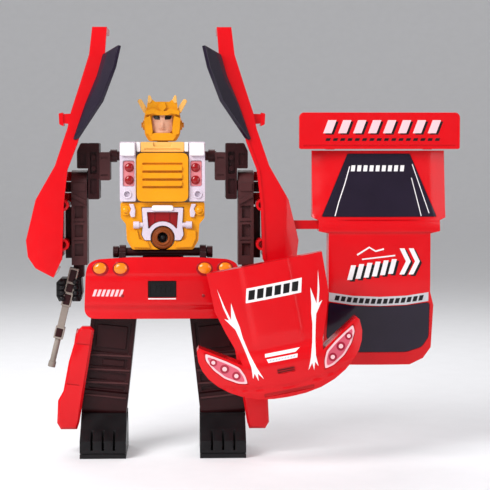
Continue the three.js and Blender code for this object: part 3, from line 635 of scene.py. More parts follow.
def build_head():
    skull = soft_slab(both([(5, 116.4), (6.5, 119), (6.8, 124.6), (6.2, 127.6)]), 0.9, -5, 7)
    crest = slab(both([(5.9, 126), (5.5, 130.4), (5, 132.2), (3.7, 131.8), (2.6, 131)]), -6, -1.4)
    horns = pair(lambda: soft_slab([(5.7, 126.2), (6.9, 127), (9.2, 131.2), (8.6, 132), (7.7, 131.9),
                                    (5.7, 128.6)], 0.4, -5.4, -2.6))
    tips = pair(lambda: soft_slab([(4.5, 130.4), (5.4, 130.6), (5.2, 133.3), (4.4, 133.3), (3.7, 131.6)], 0.3,
                                  -6.4, -3))
    piece("crown_tips", together(*horns, *tips), "pale", "head", bevel=0.3)
    brow = slab(both([(1.6, 126), (3.4, 126.7), (6.2, 126.1), (6.3, 127.7), (3.2, 128.6), (1.2, 127.6)]),
                -6.9, -5)
    jewel = slab([(0, 127), (1.5, 129), (0.9, 130.8), (-0.9, 130.8), (-1.5, 129)], -6.8, -5)
    cheeks = pair(lambda: slab([(4.2, 118.4), (6.2, 119.4), (6.7, 124.8), (4.5, 125.8), (3.7, 122),
                                (3.6, 119.8)], -6.7, -4.6))
    chin = slab(both([(3.9, 116.8), (5.2, 118.6), (3, 119.5)]), -6.6, -4.6)
    ears = pair(lambda: weld(pivot(6, 7.3, 1, 122.5, 2.2, 1.8), pivot(7, 7.9, 1, 122.5, 1)))
    ridge = box(-0.8, 0.8, -2, 6.4, 127, 129.4)
    neck = rod((0, 1, 113.6), (0, 1, 117.4), 2.1)
    helmet = weld(carve(skull, tile(-3.9, 3.9, 118.8, 126.6, 0.6, -9, -4.4)), crest, brow, jewel, *cheeks,
                  chin, *ears, ridge, neck)
    piece("helmet_skin", helmet, "yellow", "head", ("helmet",), 0.3)
    plate = relief(rounded(both([(2.2, 119), (3.6, 120.4), (3.7, 126.2)]), 0.6), face_height, -4.3, 0.35)
    piece("face_mask", plate, "face", "head", ("face",), 0, angle=60)
    for name, side in SIDES:
        add = one_side(name, side)
        outline = [(0.9, 124.4), (2.9, 124.5), (3.4, 125.4), (3.5, 126.3), (1, 126)]
        add("eye_*", decal(outline, face_height, 0.12, 0.4, 0.4), "black", "head", bevel=0)


# ---- skirt: the car's tail
TAIL_HALF = [(27, 51), (29, 53.2), (28.4, 68), (27.4, 71.4), (24.4, 73), (12, 73.8)]


def tail_height(x, z):
    sides = 0.0021 * x * x
    upper = 0.09 * max(0, z - 67.5) ** 1.2
    lip = 0.9 / (1 + exp(-(55.4 - z) * 4))
    belt = 0.35 * exp(-((z - 66.6) / 0.35) ** 2)
    return TAIL_FRONT + sides + upper + lip + belt - 0.3


def build_skirt():
    outer = rounded(both(TAIL_HALF), 1.6)
    shell = relief(outer, tail_height, -4.1, 0.8)
    hollow = relief(inset(both(TAIL_HALF), WALL), sunk(tail_height, 1.9), 0, 1.6)
    cuts = [box(-27, 27, -7.6, 0, 60, 80), box(-27.6, 27.6, -6.2, 0, 40, 60),
            tile(-5.5, 5.1, 58.9, 65.2, 0.4, -14, -8.9)]
    lugs = pair(lambda: weld(box(13.7, 16.1, -8.6, BAR_Y, 72.2, 75.6), pivot(13.7, 16.1, BAR_Y, BAR_Z, 2.6)))
    bore = pivot(-20, 20, BAR_Y, BAR_Z, 1.95)
    bumper = piece("rear_bumper_skin", carve(shell, hollow, *cuts), "red", "skirt", ("rear_bumper",), 0.3,
                   angle=40)
    piece("hinge_lugs", carve(together(*lugs), bore), "maroon", "skirt")
    front = surface_of(bumper)
    for number, x in enumerate((-23, -15.4, 15.4, 23), 1):
        cup = decal(disc(x, 69.6, 3.1, 0.84), tail_height, 0.12, 0.5, 1)
        piece(f"tail_light_cup_{number}", cup, "dark_red", "skirt", bevel=0.1)
        dome = ball((x, tail_height(x, 69.6) + 0.3, 69.6), 2.6, (1, 0.45, 0.84))
        piece(f"tail_light_dome_{number}", dome, "amber", "skirt", (f"tail_light_{number}",), 0)
    plate = carve(tile(-5.3, 4.9, 59.1, 65, 0.3, -9.5, -8.8), tile(-4.6, 4.2, 59.8, 64.3, 0.2, -12, -9.3))
    digits = [slab(shape, -9.5, -9.2) for shape in slanted_bars(-3.8, 3.4, 60.8, 63.4, 4, 0.4)]
    piece("plate_panel", together(plate, *digits), "black", "skirt", ("number_plate",), 0.1)
    under = bar(-5.4, 4.9, 58.3, 58.75, 0.15)
    prints("plate_underline", [under], front, 0.06, "white", "skirt", depth=0.2, step=2)
    marks = slanted_bars(-26, -14.6, 59.4, 61.9, 7, 0.9)
    prints("tail_sticker", marks, front, UNDER_PRINT, "lens", "skirt", depth=0.2, step=1.5)
    studs = pair(lambda: ball((14.9, tail_height(14.9, 59.6), 59.6), 0.6, (1, 0.5, 1)))
    piece("tail_studs", together(*studs), "dark_red", "skirt", bevel=0)
    hinge = weld(pivot(-16.5, 16.5, BAR_Y, BAR_Z, 1.6), *pair(lambda: pivot(16.4, 18.5, BAR_Y, BAR_Z, 2.2)),
                 box(-12, 12, -3.6, -1.2, 74.4, 76.4))
    piece("hinge_rod", hinge, "maroon", "torso", ("hinge_bar",))
    trunk = carve(cad_copy("pelvis"), *[box(-5.4, 5.4, -3, 0.4, z, z + 2) for z in (55, 59, 63, 67, 71)])
    piece("pelvis_block", trunk, "maroon", "torso", ("pelvis",), 0.35)


# ---- arms
def build_arm(name, side):
    add = one_side(name, side)
    outer = carve(tile(23.4, 27.6, 95, 115.8, 0.6, -4, 8), pivot(22, 29, 2, 100, 2.3),
                  tile(24.3, 26.8, 104.4, 112.6, 0.5, -6, -2.8), tile(24.3, 26.8, 97, 102.6, 0.5, -6, -3.2))
    guard = soft_slab([(27.4, 106.4), (31.6, 106.4), (31.6, 112.8), (30.2, 115.8), (27.4, 115.8)], 0.5, -4,
                      0.4)
    guard = carve(guard, tile(28.2, 30.8, 107.6, 112, 0.4, -6, -3.4))
    studs = [peg(25.5, z, -4, -2.6, 0.9) for z in (106.4, 110.4)]
    add("shoulder_*", weld(outer, guard, *studs), "maroon", "upper_arm_*", ("shoulder_block_*",))
    inner = tile(19.4, 23.4, 102, 112.4, 0.5, -3.8, 7)
    lines = [tile(20.2, 22.8, z, z + 0.6, 0.2, -6, -3.4) for z in (103.6, 110)]
    pin = weld(pivot(13.4, 20, 2, 111, 1.8), pivot(17, 19.5, 2, 111, 2.4))
    add("shoulder_inner_*", weld(carve(inner, *lines), pin), "umber", "upper_arm_*")
    brace = slab([(28.3, 93), (33.6, 95.8), (33.6, 97.4), (28.3, 94.6)], -4.7, -3.8)
    front_plate = tile(28.6, 33.2, 98, 101, 0.4, -4.4, -3.2)
    strut = box(33.4, 36.6, 4.8, 6.8, 72.6, 91.8)
    bar_shape = weld(cad_copy("forearm_left"), brace, front_plate, strut)
    grilles = [tile(28.8, 33, z, z + 0.5, 0.2, -6, -3.6) for z in (79.4, 86.4, 91.8)]
    add("forearm_*_skin", carve(bar_shape, *grilles), "umber", "forearm_*", ("forearm_*",), 0.3)
    knuckles = [turned(ball((0, 0, 0), 1.15, (1.05, 0.8, 0.9), 16), Matrix.Translation((x, -3.5, z)))
                for z in (58.1, 60.2, 62.3, 64.3) for x in (32.4, 37.4)]
    add("fist_*_skin", weld(cad_copy("fist_left"), *knuckles), "black", "forearm_*", ("fist_*",), 0.35)


# ---- wings: the car's sides
WING_OUTER = [(40, 66.5), (46.7, 70), (49.5, 74), (50.2, 80), (46.4, 95), (39.2, 107.5), (34.6, 121),
              (33.3, 127), (30, 137), (26.5, 148), (25.3, 158)]
WING_INNER = [(20, 158), (20.8, 147), (26.5, 131), (31, 116), (34.8, 106), (36.2, 94), (37, 73)]


def outer_x(z):
    """The wing's outer face at height z."""
    for (x0, z0), (x1, z1) in zip(WING_OUTER, WING_OUTER[1:]):
        if z <= z1:
            return x0 + (x1 - x0) * (z - z0) / (z1 - z0)
    return WING_OUTER[-1][0]


def side_panel_line(points, depth=0.35, width=0.3):
    """A thin groove cutter that follows points of (y, z) on the wing's outer face."""
    cutters = []
    for (y0, z0), (y1, z1) in zip(points, points[1:]):
        count = max(1, round(hypot(y1 - y0, z1 - z0) / 4))
        for i in range(count):
            a, b = i / count, (i + 1) / count
            start = Vector((0, y0 + (y1 - y0) * a, z0 + (z1 - z0) * a))
            end = Vector((0, y0 + (y1 - y0) * b, z0 + (z1 - z0) * b))
            start.x = outer_x(start.z) + width - depth
            end.x = outer_x(end.z) + width - depth
            cutters.append(rod(start, end, width, sides=8))
    return cutters


def build_wing(name, side):
    add = one_side(name, side)
    full = slab(WING_OUTER + WING_INNER, -11, 11)
    outer = [(x - 2.2, z) for x, z in WING_OUTER]
    outer[0] = (outer[0][0], outer[0][1] + 2)
    outer[1] = (outer[1][0], outer[1][1] + 1)
    outer[-1] = (outer[-1][0], 156)
    hollow = slab(outer + [(10, 156), (10, 68.5)], -8.8, 12)
    fender = loft([[(43.2, -11.6, z), (54, -11.6, z), (54, -6.8, z)] for z in (60, 112)])
    arch = pivot(36, 60, *FRONT_AXLE, 11, sides=64)
    shut = side_panel_line([(-7, 152), (7, 152), (8, 118), (5, 100), (-6, 100), (-7.6, 118), (-7, 152)])
    sill = side_panel_line([(-5, 72), (-5, 99)])
    shell = carve(full, hollow, fender, arch, tile(44, 52, 83.7, 87.5, 0.3, -7.3, -3.7), *shut, *sill)
    lip = carve(pivot(46, 50, *FRONT_AXLE, 12.2, sides=64), pivot(40, 60, *FRONT_AXLE, 11, sides=64),
                box(40, 60, 10.9, 40, 60, 100))
    lip = common(lip, slab([(30, 60)] + [(x + 0.35, z) for x, z in WING_OUTER] + [(20, 160)], -11, 11))
    lip = carve(lip, slab([(x - 1.6, z) for x, z in WING_OUTER] + [(10, 158), (10, 66)], -12, 12))
    rim_strip = weld(*[slab([(x - 0.2, z), (x + 0.9, z), (x1 + 0.9, z1), (x1 - 0.2, z1)], -11.4, -9)
                       for (x, z), (x1, z1) in zip(WING_INNER[2:], WING_INNER[3:])])
    carrier = box(37, 38.4, -10, 11, 74, 90)
    axle = pivot(38, 44.6, *FRONT_AXLE, 1.3)
    bosses = [carve(peg(36.6, z, -9.6, 3, 2.2), peg(36.6, z, -11, -7.4, 1.3)) for z in (78.5, 93)]
    arms = [weld(box(35.6, x1, 4.8, 7.2, z0, z1), rod((35.6, 6, z0), (35.6, 6, z1), 1.5))
            for z0, z1, x1 in ((92.6, 97.1, 44.4), (101.5, 105, 39.4))]
    mirror_arm = soft_slab([(32, 122.6), (36.4, 123), (37.2, 124.2), (37, 126.4), (32, 126.6)], 0.5, -9, -3.6)
    mirror_head = soft_slab([(36, 121.9), (37.6, 122.6), (37.8, 126.6), (36.2, 127)], 0.4, -9.4, -3.2)
    mirror = weld(mirror_arm, mirror_head)
    handle = box(outer_x(110) - 2, outer_x(110) + 0.5, 2, 6, 109.4, 110.4)
    shell = weld(shell, lip, rim_strip, carrier, axle, *bosses, *arms, mirror, handle)
    add("side_*", shell, "red", "wing_*", ("side_panel_*",), 0.4)
    pane = loft([[(31.4, -11.3, 116.8), (30, -12.6, 117.6), (31.2, -12.8, 117.9), (32.6, -11.5, 117.1)],
                 [(27, -11.3, 129.6), (20.8, -17.8, 131), (22, -18, 131.3), (28.2, -11.5, 129.9)],
                 [(22.6, -11.3, 140), (16.2, -19, 143), (17.4, -19.2, 143.3), (23.8, -11.5, 140.3)],
                 [(20.4, -11.3, 147.8), (14.4, -19, 150.8), (15.6, -19.2, 151.1), (21.6, -11.5, 148.1)]])
    add("side_glass_*", pane, "glazing", "wing_*", ("side_window_*",))


# ---- wheels
def build_wheel(place, matrix, side, body, radius, width):
    add = one_side(place, side)
    half = width / 2
    bead = 0.66 * radius
    tyre = lathe([(bead, -half + 0.2), (bead + 0.5, -half), (radius - 1, -half), (radius - 0.3, 0.5 - half),
                  (radius, 1.1 - half), (radius, half - 1.1), (radius - 0.3, half - 0.5), (radius - 1, half),
                  (bead + 1.1, half), (bead + 0.9, half - 0.25), (bead + 0.4, half - 0.25),
                  (bead, half - 0.2)], IDENTITY, 64)
    grooves = [lathe([(radius - 0.45, x - 0.22), (radius + 1, x - 0.22), (radius + 1, x + 0.22),
                      (radius - 0.45, x + 0.22)], IDENTITY, 64) for x in (-half * 0.36, half * 0.36)]
    treads = []
    for i in range(24):
        turn = Matrix.Rotation(tau * i / 24, 4, "X")
        for start, end in ((-half - 1, -half * 0.42), (half * 0.42, half + 1)):
            treads.append(turned(box(start, end, -0.22, 0.22, radius - 0.4, radius + 1), turn))
    tyre = carve(tyre, *grooves, *treads)
    add("*_tread", turned(tyre, matrix), "rubber", body, ("*_tyre",), 0.08, 2)
    edge = bead - 0.3
    face = half - 0.4
    bowl = lathe([(1.6, -face), (edge, -face), (edge, face), (edge - 0.8, face), (edge - 1.1, face - 0.8),
                  (edge - 1.3, face - 2.2), (1.6, face - 2.2)], IDENTITY)
    ends = ((1.4, 0.55, 0.5, 0.5), (edge - 0.7, 1.05, 0.9, 0.35))
    spoke = [[(face - 2.4, -low, r), (face - 2.4, low, r), (face - drop, high, r), (face - drop, -high, r)]
             for r, low, high, drop in ends]
    spokes = [turned(loft(spoke), Matrix.Rotation(tau * i / 5, 4, "X")) for i in range(5)]
    hub = carve(pivot(-face, face - 0.1, 0, 0, 2.1, 1.9), pivot(-half - 1, half + 1, 0, 0, 1.6))
    add("*_spokes", turned(weld(bowl, *spokes, hub), matrix), "silver", body, ("*_rim",), 0.12, 2)


# ---- legs
def build_leg(name, side):
    add = one_side(name, side)
    column_side = [(6, 0), *arc(0, 0, 6, 0, 180, 12), (-6, -33.6), (-5, -34.4), (-5, -40.4),
                   *arc(0, -40.4, 5, 180, 360, 12), (5, -34.4), (6, -33.6)]
    column = side_slab(column_side, -8.4, 8.4)
    cuts = [pivot(-9.4, -2, 0, 0, 3)]
    levels = [(-7.5, -19.4), (-21.4, -24.8), (-26.8, -29.8), (-31.6, -33.2)]
    cuts += [tile(-6.9, 6.9, low, high, 0.4, -9, -5.1) for high, low in levels]
    panel = [tile(-5.6, 5.6, -17.6, -9.2, 0.6, -5.7, -5), tile(-5.6, 2.4, -24.2, -22, 0.3, -5.5, -5)]
    tilt = Matrix.Rotation(radians(3), 4, "Y")
    ridges = [turned(tile(-8, 8, -0.35, 0.35, 0.2, -6.5, -5.6), Matrix.Translation((0, 0, z)) @ tilt)
              for z in (-20.4, -25.8, -30.7)]
    ridges.append(tile(-7.6, 7.6, -36.4, -35.7, 0.2, -5.5, -4.8))
    back = [box(-5.8, 5.8, 5.3, 7, z, z + 2.6) for z in (-30, -24.6, -19.2, -13.8)]
    bolts = [peg(x, -5.6, -6.3, -5.5, 0.8) for x in (-5.6, 5.6)]
    axle = pivot(7.4, 12.9, REAR_WHEEL.y, REAR_WHEEL.z, 1.3)
    column = weld(carve(column, *cuts, *back), *panel, *bolts, axle)
    add("leg_ridges_*", turned(together(*ridges), LEG_PLACE), "umber", "leg_*", bevel=0.15)
    add("leg_*_column", turned(column, LEG_PLACE), "maroon", "leg_*", ("leg_*",))
    guard = cad_copy("boot_fairing_left")
    lower = [slab([(31, 26), (36, 26.6), (36, 27), (31, 26.4)], -9, -7),
             slab([(27, 41), (33, 41.6), (33, 42), (27, 41.4)], -9, -7)]
    add("boot_*", carve(guard, *lower), "red", "leg_*", ("boot_fairing_*",), 0.5)
    foot = cad_copy("foot_left")
    straps = [box(15, 29.2, 13.2, 12.4, z, z + 0.8) for z in (3, 5, 7)]
    sole = box(12.6, 31.6, -16, 14, 1.6, 2)
    foot = carve(foot, *straps, carve(sole, box(14, 30.2, -14.6, 12.6, 0, 4)))
    add("foot_*_skin", foot, "black", "foot_*", ("foot_*",), 0.4)


# ---- the rifle
def build_rifle():
    half = GRIP_HALF
    stock = box(-half, half, -half, half, -6, 8.6)
    body = [box(-1.3, 1.3, -1.3, 1.3, -14.1, -5.9), box(-half, half, -half, half, -18.4, -13.9),
            rod((0, 0, -29.4), (0, 0, -18.2), 1.1), rod((0, 0, -29.4), (0, 0, -27.2), 1.4)]
    grip = weld(stock, *body)
    panels = [tile(-1.25, 1.25, low, high, 0.3, -3, -half + 0.35)
              for low, high in ((3.4, 7.9), (-0.6, 2.6), (-5.4, -1.4), (-17.8, -14.5))]
    panels += [box(-2.4, 2.4, -2.4, -half + 0.3, z, z + 0.35) for z in (-7.4, -9, -10.6, -12.2)]
    gun = carve(grip, *panels, rod((0, 0, -31), (0, 0, -26), 0.6))
    piece("rifle_skin", mirrored(turned(gun, GRIP_PLACE), -1), "gunmetal", "rifle", ("rifle",), 0.2)
    inlays = [box(-1.15, 1.15, -half + 0.1, -half + 0.5, low, high)
              for low, high in ((3.5, 7.8), (-0.5, 2.5), (-5.3, -1.5), (-17.7, -14.6))]
    piece("rifle_inlays", mirrored(turned(together(*inlays), GRIP_PLACE), -1), "maroon", "rifle", bevel=0.1)


# ---- shield: the car's nose, drawn upright and then rolled
HOOD_HALF = [(20.8, 26.8), (20.5, 13), (18.2, 5), (15.4, -3), (14.5, -7.3), (28.6, 1.4), (29.5, 0.4),
             (29.7, -3.6), (28.9, -7), (27.2, -10.2), (24.6, -13.2), (21, -16), (16.6, -18.4), (11.4, -20.2),
             (5.8, -21.1), (1, -21.3)]
LAMP = [(26.8, -0.9), (27, -3.4), (25, -7.2), (21.7, -10.8), (17.2, -13.4), (13.9, -14.1), (14.3, -11),
        (15.7, -7.9), (19.7, -5), (23.4, -2.8)]
FLAME = [(18.2, 20.8), (16.6, 13.5), (15.4, 9.2), (14.3, 15.2), (13.6, 9.6), (12.9, 6.2), (12.6, 2.4),
         (11.3, -4), (9.7, -9), (8, -13.3), (9.8, -11), (10, -13.6), (10.9, -10.8), (11.8, -12.6),
         (11.6, -8.5), (12.4, -4), (13.6, 1.6), (14.6, 5.6), (17.7, 10), (16.2, 9.2), (17.4, 14)]


def smooth(value, low, high):
    t = min(1, max(0, (value - low) / (high - low)))
    return t * t * (3 - 2 * t)


def hood_height(u, v):
    bonnet = -36.9 + 0.0035 * u * u + 0.02 * max(0, v)
    bonnet -= 0.5 * (1 - smooth(abs(u), 7.6, 9.4)) * smooth(v, -4, 2)
    nose = -39 + 0.0058 * u * u + 0.03 * max(0, -13 - v) ** 1.7
    crease = 0.35 * exp(-((v + 17.4 - 0.006 * u * u) / 0.4) ** 2)
    spread = smooth(-v + 0.5 * max(0, abs(u) - 14.4), 3, 9)
    return bonnet + (nose + crease - bonnet) * spread


def on_hood(bm):
    return turned(bm, HOOD_PLACE)


def hood_prints(name, outlines, lift, look):
    prints(name, outlines, hood_height, lift, look, "shield", HOOD_PLACE)


def shell_ribs(outlines, bosses, height, back):
    """Stiffening ribs and screw bosses inside a car shell, from just within its skin back to y = back."""
    ribs = [relief(outline, sunk(height, 1.7), back, 1.2) for outline in outlines]
    for x, z in bosses:
        front = height(x, z) + 1.6
        ribs.append(carve(peg(x, z, front, back + 0.4, 1.9), peg(x, z, front + 1, back + 2, 0.9)))
    return together(*ribs)


def build_shield():
    outline = both(HOOD_HALF)
    shell = relief(outline, hood_height, -25.6, 0.8)
    behind_bonnet = slab(both([(24, 30), (24, 13), (16.2, -5.6)]), -29.8, -20)
    hollow = relief(inset(outline, WALL), sunk(hood_height, 2), -20, 1.6)
    lamp_wells = pair(lambda: relief(inset(LAMP, -0.2), sunk(hood_height, 0.5), FAR_FRONT, 0.8))
    intake = tile(-3, 3.6, -12.6, -10.6, 0.7, FAR_FRONT, -38)
    slot = tile(-9, 9, -20, -18.6, 0.5, FAR_FRONT, -37.2)
    seams = pair(lambda: slab([(15.2, -7.8), (15, -8.4), (10, -10.2), (10, -9.8)], FAR_FRONT, -37.9))
    shell = on_hood(carve(shell, behind_bonnet, hollow, *lamp_wells, intake, slot, *seams))
    stem = box(33.65, 36.05, -36, -1.7, 58.8, 63.2)
    grip = turned(tile(-GRIP_HALF, GRIP_HALF, -7, 7, 0.3, -GRIP_HALF, GRIP_HALF), GRIP_PLACE)
    piece("hood_skin", weld(shell, stem, grip), "red", "shield", ("hood_shell",), 0.35, angle=38)
    grille = on_hood(together(tile(-3.1, 3.7, -12.7, -10.5, 0.6, -37.9, -37.6),
                              *[tile(-2.6, 3.2, z, z + 0.25, 0.1, -38.2, -37.7) for z in (-12.2, -11.5)]))
    piece("hood_grille", grille, "black", "shield", bevel=0)
    ribs = shell_ribs([bar(-17, 17, 19, 19.9, 0.1), bar(-15.6, 15.6, 9, 9.9, 0.1),
                       bar(-0.5, 0.5, 2, 24.6, 0.1)], [(-12, 14.4), (12, 14.4)], hood_height, -30.6)
    piece("hood_ribs", on_hood(ribs), "red", "shield", bevel=0)
    for name, side in SIDES:
        def lay(label, outline_here, lift, look, step=1.0, replaces=(), bevel=0):
            shape = on_hood(mirrored(decal(outline_here, hood_height, lift, 0.3, step), side))
            piece(label, shape, look, "shield", replaces, bevel)
        lamp = f"headlight_{name}"
        lay(f"{lamp}_rim", rounded(LAMP, 0.8, 2), -0.15, "lens", replaces=(lamp,), bevel=0.1)
        lay(f"{lamp}_bowl", rounded(inset(LAMP, 0.75), 0.8, 2), -0.02, "pink")
        for number, (u, v, radius) in enumerate(((24.5, -4.5, 1.35), (21, -7.4, 1.6), (17.4, -10.5, 1.5)), 1):
            lay(f"{lamp}_lamp_{number}", disc(u, v, radius), TOP_PRINT, "ruby", 0.6)
            lay(f"{lamp}_glint_{number}", disc(u, v, radius * 0.5), 0.16, "lens", 0.6)
        lay(f"flame_{name}", FLAME, UNDER_PRINT, "white")
    hood_prints("hood_sticker", slanted_bars(-9.2, 10.8, 14.1, 19.2, 6, 1.2, 1.0), UNDER_PRINT, "white")
    hood_prints("hood_sticker_bars", slanted_bars(-8.2, 10.6, 15, 18.3, 6, 0.9, 0.72), TOP_PRINT, "black")
    strips = [[(-6.2, -6), (4.8, -6), (6.6, -4.8), (-6, -4.8)],
              [(-5.4, -8), (5, -8), (5.4, -6.7), (-5.8, -6.7)]]
    hood_prints("hood_strips", strips, UNDER_PRINT, "white")
    hood_prints("hood_strip_marks", slanted_bars(-5, 4.6, -7.6, -7.1, 9, 0.3), TOP_PRINT, "silver")


# ---- the car's roof, drawn about its own middle
ROOF_LINE = [(33, -5), (38, -6.4), (57, -13.2), (64, -14), (80, -14), (87, -13), (113, -8)]
ROOF_HALF = [(12.4, 33), (17.4, 35.4), (20.2, 39.6), (20.2, 56), (18.8, 61), (18.8, 82.6), (22.4, 83.4),
             (22.4, 87.4), (24.6, 88.4), (24.6, 113)]
WINDSHIELD = [(11, 37.8), (16.8, 39.7), (19.2, 43.6), (18.8, 57.3), (10, 56.1), (3, 55.8)]
REAR_WINDOW = [(21.4, 88.6), (11.6, 112)]
BLADE_FRONT = -10.9


def roof_line(z):
    for (z0, y0), (z1, y1) in zip(ROOF_LINE, ROOF_LINE[1:]):
        if z <= z1:
            return y0 + (y1 - y0) * (z - z0) / (z1 - z0)
    return ROOF_LINE[-1][1]


def roof_height(x, z):
    across = 0.004 * x * x
    edge = 0.5 * smooth(abs(x), 18.6, 26) * smooth(z, 87, 93)
    band = -0.5 * smooth(z, 82.6, 83.4) * (1 - smooth(z, 86.6, 87.4))
    level = sum(roof_line(z + step) for step in (-2, -1, 0, 1, 2)) / 5
    return level + across + edge + band


def roof_prints(name, outlines, lift, look):
    prints(name, outlines, roof_height, lift, look, "roof", ROOF_PLACE, step=1.4)


def stroke(points, width):
    """The outline of a line of even width through points."""
    left, right = [], []
    for i, point in enumerate(points):
        before = Vector(points[max(0, i - 1)])
        after = Vector(points[min(len(points) - 1, i + 1)])
        across = (after - before).normalized()
        offset = Vector((-across.y, across.x)) * width / 2
        left.append(tuple(Vector(point) + offset))
        right.append(tuple(Vector(point) - offset))
    return left + right[::-1]


def build_roof():
    outline = both(ROOF_HALF)
    shell = relief(outline, roof_height, -3, 1.0)
    hollow = common(relief(inset(outline, WALL), sunk(roof_height, 2), 4, 2),
                    box(-30, 30, -20, 5, 34.6, 111.4))
    wells = [relief(shape, sunk(roof_height, 0.45), FAR_FRONT, 1.0)
             for shape in (rounded(both(WINDSHIELD), 1.2), rounded(both(REAR_WINDOW), 0.6))]
    seams = [tile(-22.6, 22.6, z, z + 0.35, 0.1, -20, -12) for z in (82.7, 87.3)]
    seams = [common(seam, relief(both([(23, 80), (23, 90)]), sunk(roof_height, 0.4), -40, 1))
             for seam in seams]
    clip = box(47.2 - ROOF_X, -21.4, -7, -4, 84, 87.2)
    shell = weld(carve(shell, hollow, *wells, *seams), clip)
    piece("roof_skin", turned(shell, ROOF_PLACE), "red", "roof", ("roof_shell",), 0.35, angle=38)
    ribs = shell_ribs([bar(-18, 18, 47, 48, 0.1), bar(-16.6, 16.6, 72, 73, 0.1),
                       bar(-22.4, 22.4, 97, 98, 0.1), bar(-0.5, 0.5, 37, 109, 0.1)],
                      [(x, z) for x in (-11, 11) for z in (58, 88)], roof_height, -4.6)
    piece("roof_ribs", turned(ribs, ROOF_PLACE), "red", "roof", bevel=0)
    for name, node, shape, radius in (("front", "windshield", WINDSHIELD, 1.2),
                                      ("back", "rear_window", REAR_WINDOW, 0.6)):
        pane = decal(rounded(inset(both(shape), 0.15), radius), roof_height, -0.1, 0.7, 1.2)
        piece(f"{name}_pane", turned(pane, ROOF_PLACE), "glazing", "roof", (node,), 0.1)
    lines = [stroke([(-16.4, 89), (-15, 94), (-12.6, 101), (-10.8, 107.2)], 0.35),
             stroke([(15.4, 89), (14, 95), (12, 103)], 0.3), stroke([(18.4, 90), (12.4, 108)], 0.3)]
    lines += slanted_bars(-10.4, 10, 105.4, 107.6, 9, 0.3)
    roof_prints("rear_window_print", lines, -0.04, "white")
    band = [(-18.6, 60.9), (-10, 59.7), (0, 59.3), (10, 59.7), (18.2, 60.9), (18.2, 57.6), (10, 56.3),
            (0, 55.9), (-10, 56.3), (-18.6, 57.6)]
    roof_prints("visor_band", [band], 0.06, "silver")
    bars = slanted_bars(-16.6, 16.6, 57, 58.9, 15, 0.5, 0.7)
    marks = [[(x, z - 0.3 + 0.0049 * x * x) for x, z in shape] for shape in bars]
    roof_prints("visor_marks", marks, TOP_PRINT, "black")
    shadows, faces = [], []
    for i, shape in enumerate(slanted_bars(-12, 6, 65.6, 71, 6, 1.4, 0.6)):
        rise = 0.45 * i
        faces.append([(x, z + rise) for x, z in shape])
        shadows.append([(x + 0.9, z + rise - 0.6) for x, z in shape])
    for x in (7.2, 10.6):
        chevron = [(x, 67.6), (x + 1.8, 67.6), (x + 4.2, 72.4), (x + 1.8, 77.2), (x, 77.2), (x + 2.4, 72.4)]
        faces.append(chevron)
        shadows.append([(u + 0.8, z - 0.6) for u, z in chevron])
    faces += [stroke([(-8.4, 74.8), (-4, 77.6), (-1.6, 76.2), (1.4, 77)], 0.6),
              stroke([(-6.6, 73.2), (5.6, 74.6)], 0.5)]
    roof_prints("roof_emblem_shadow", shadows, UNDER_PRINT, "black")
    roof_prints("roof_emblem", faces, TOP_PRINT, "white")
    wing_shape = both([(29.6, 113.6), (29.6, 125.8), (28.6, 127)])
    wing = soft_slab(wing_shape, 0.8, BLADE_FRONT, -8.5)
    posts = [weld(box(x - 1.5, x + 1.5, -9, -4.4, 113.4, 116.4), box(x - 2, x + 2, -8.7, -7.9, 114, 122))
             for x in (-18, 18)]
    fillet = tile(-28, 28, 114.6, 115.1, 0.2, -12, -10.6)
    piece("wing_blade", turned(weld(carve(wing, fillet), *posts), ROOF_PLACE), "red", "roof", ("rear_wing",),
          0.5)

    def blade_prints(name, outlines, lift, look):
        prints(name, outlines, lambda x, z: BLADE_FRONT, lift, look, "roof", ROOF_PLACE, 0.2, 3)
    letters = slanted_bars(-20.8, 23.2, 119.4, 124.2, 8, 1.8, 0.56)
    behind = [[(x + 0.8, z - 0.5) for x, z in shape] for shape in letters]
    dashes = slanted_bars(-20, 23, 116.6, 117.6, 16, 0.4, 0.6)
    blade_prints("wing_shadow", behind + dashes, 0.03, "black")
    blade_prints("wing_bars", letters, 0.07, "lens")


# ---- assembly
build_torso()
build_chest()
build_belly()
build_head()
build_skirt()
for side_name, side_sign in SIDES:
    build_arm(side_name, side_sign)
    build_wing(side_name, side_sign)
    build_wheel(f"front_{side_name}", Matrix.Translation(FRONT_WHEEL), side_sign, f"front_wheel_{side_name}",
                *FRONT_TYRE)
    build_leg(side_name, side_sign)
    build_wheel(f"rear_{side_name}", LEG_PLACE @ Matrix.Translation(REAR_WHEEL), side_sign,
                f"rear_wheel_{side_name}", *REAR_TYRE)
build_rifle()
build_shield()
build_roof()


# ---- backdrop, camera and lights
def aim(thing, place, target):
    """Put a light or camera at place, looking at target, both in toy millimetres."""
    thing.location = TO_WORLD @ Vector(place)
    thing.rotation_euler = (TO_WORLD @ Vector(target) - thing.location).to_track_quat("-Z", "Y").to_euler()


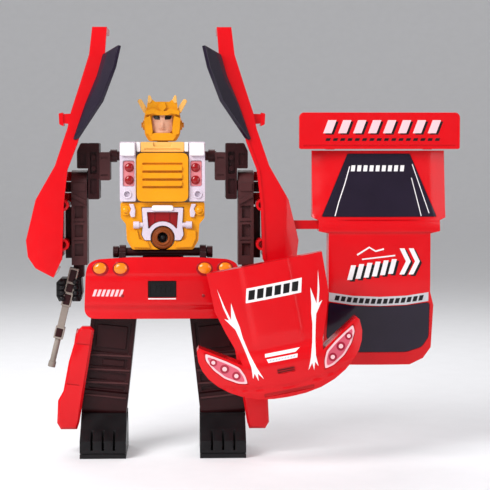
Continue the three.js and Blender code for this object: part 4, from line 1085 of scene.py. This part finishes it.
def sweep():
    """A pale round floor that curves up into a wall all round, far enough out to stay behind every view."""
    floor, curve, top = 1.5, 0.6, 1.8
    profile = [(0.001, 0), (0.5, 0), (floor, 0)]
    for angle in range(6, 91, 6):
        turn = radians(angle)
        profile.append((floor + curve * sin(turn), curve - curve * cos(turn)))
    profile.append((floor + curve, top))
    bm = bmesh.new()
    rings = []
    for i in range(72):
        angle = tau * i / 72
        rings.append([bm.verts.new((r * cos(angle), r * sin(angle), z)) for r, z in profile])
    for ring_here, following in zip(rings, rings[1:] + rings[:1]):
        for k in range(len(profile) - 1):
            bm.faces.new((ring_here[k], following[k], following[k + 1], ring_here[k + 1]))
    mesh = as_mesh("sweep", bm)
    mesh.polygons.foreach_set("use_smooth", [True] * len(mesh.polygons))
    thing = in_scene("sweep", mesh)
    paper = moulded_plastic("backdrop_paper", (0.74, 0.74, 0.76), 0.7, 0.01, 0.01)
    shader = paper.node_tree.nodes["Principled BSDF"]
    set_inputs(shader, {"Emission Color": (1, 1, 1, 1), "Emission Strength": 0.12})
    mesh.materials.append(paper)


LIGHT_TARGET = (30, 0, 80)
LENS = 122
CAMERA_PLACE = (9.3, -620, 118)
CAMERA_TARGET = (30.5, -5, 78)
WORLD_LIGHT = 0.24


def area_light(name, place, width, height, power, colour=(1, 1, 1)):
    data = bpy.data.lights.new(name, "AREA")
    data.shape = "RECTANGLE"
    data.size = width
    data.size_y = height
    data.energy = power
    data.color = colour
    thing = in_scene(name, data)
    aim(thing, place, LIGHT_TARGET)


def build_camera():
    data = bpy.data.cameras.new("camera")
    data.lens = LENS
    data.clip_start = 0.05
    thing = in_scene("camera", data)
    aim(thing, CAMERA_PLACE, CAMERA_TARGET)
    bpy.context.scene.camera = thing


sweep()
build_camera()
area_light("key", (-330, -330, 430), 0.35, 0.35, 4.4)
area_light("fill", (460, -260, 220), 0.4, 0.4, 1.2, (0.95, 0.96, 1))
area_light("back", (0, 300, 420), 0.5, 0.3, 1.2)
world = bpy.data.worlds.new("studio")
bpy.context.scene.world = world
world.use_nodes = True
set_inputs(world.node_tree.nodes["Background"], {"Color": (1, 1, 1, 1), "Strength": WORLD_LIGHT})
bpy.context.scene.view_settings.view_transform = "Standard"
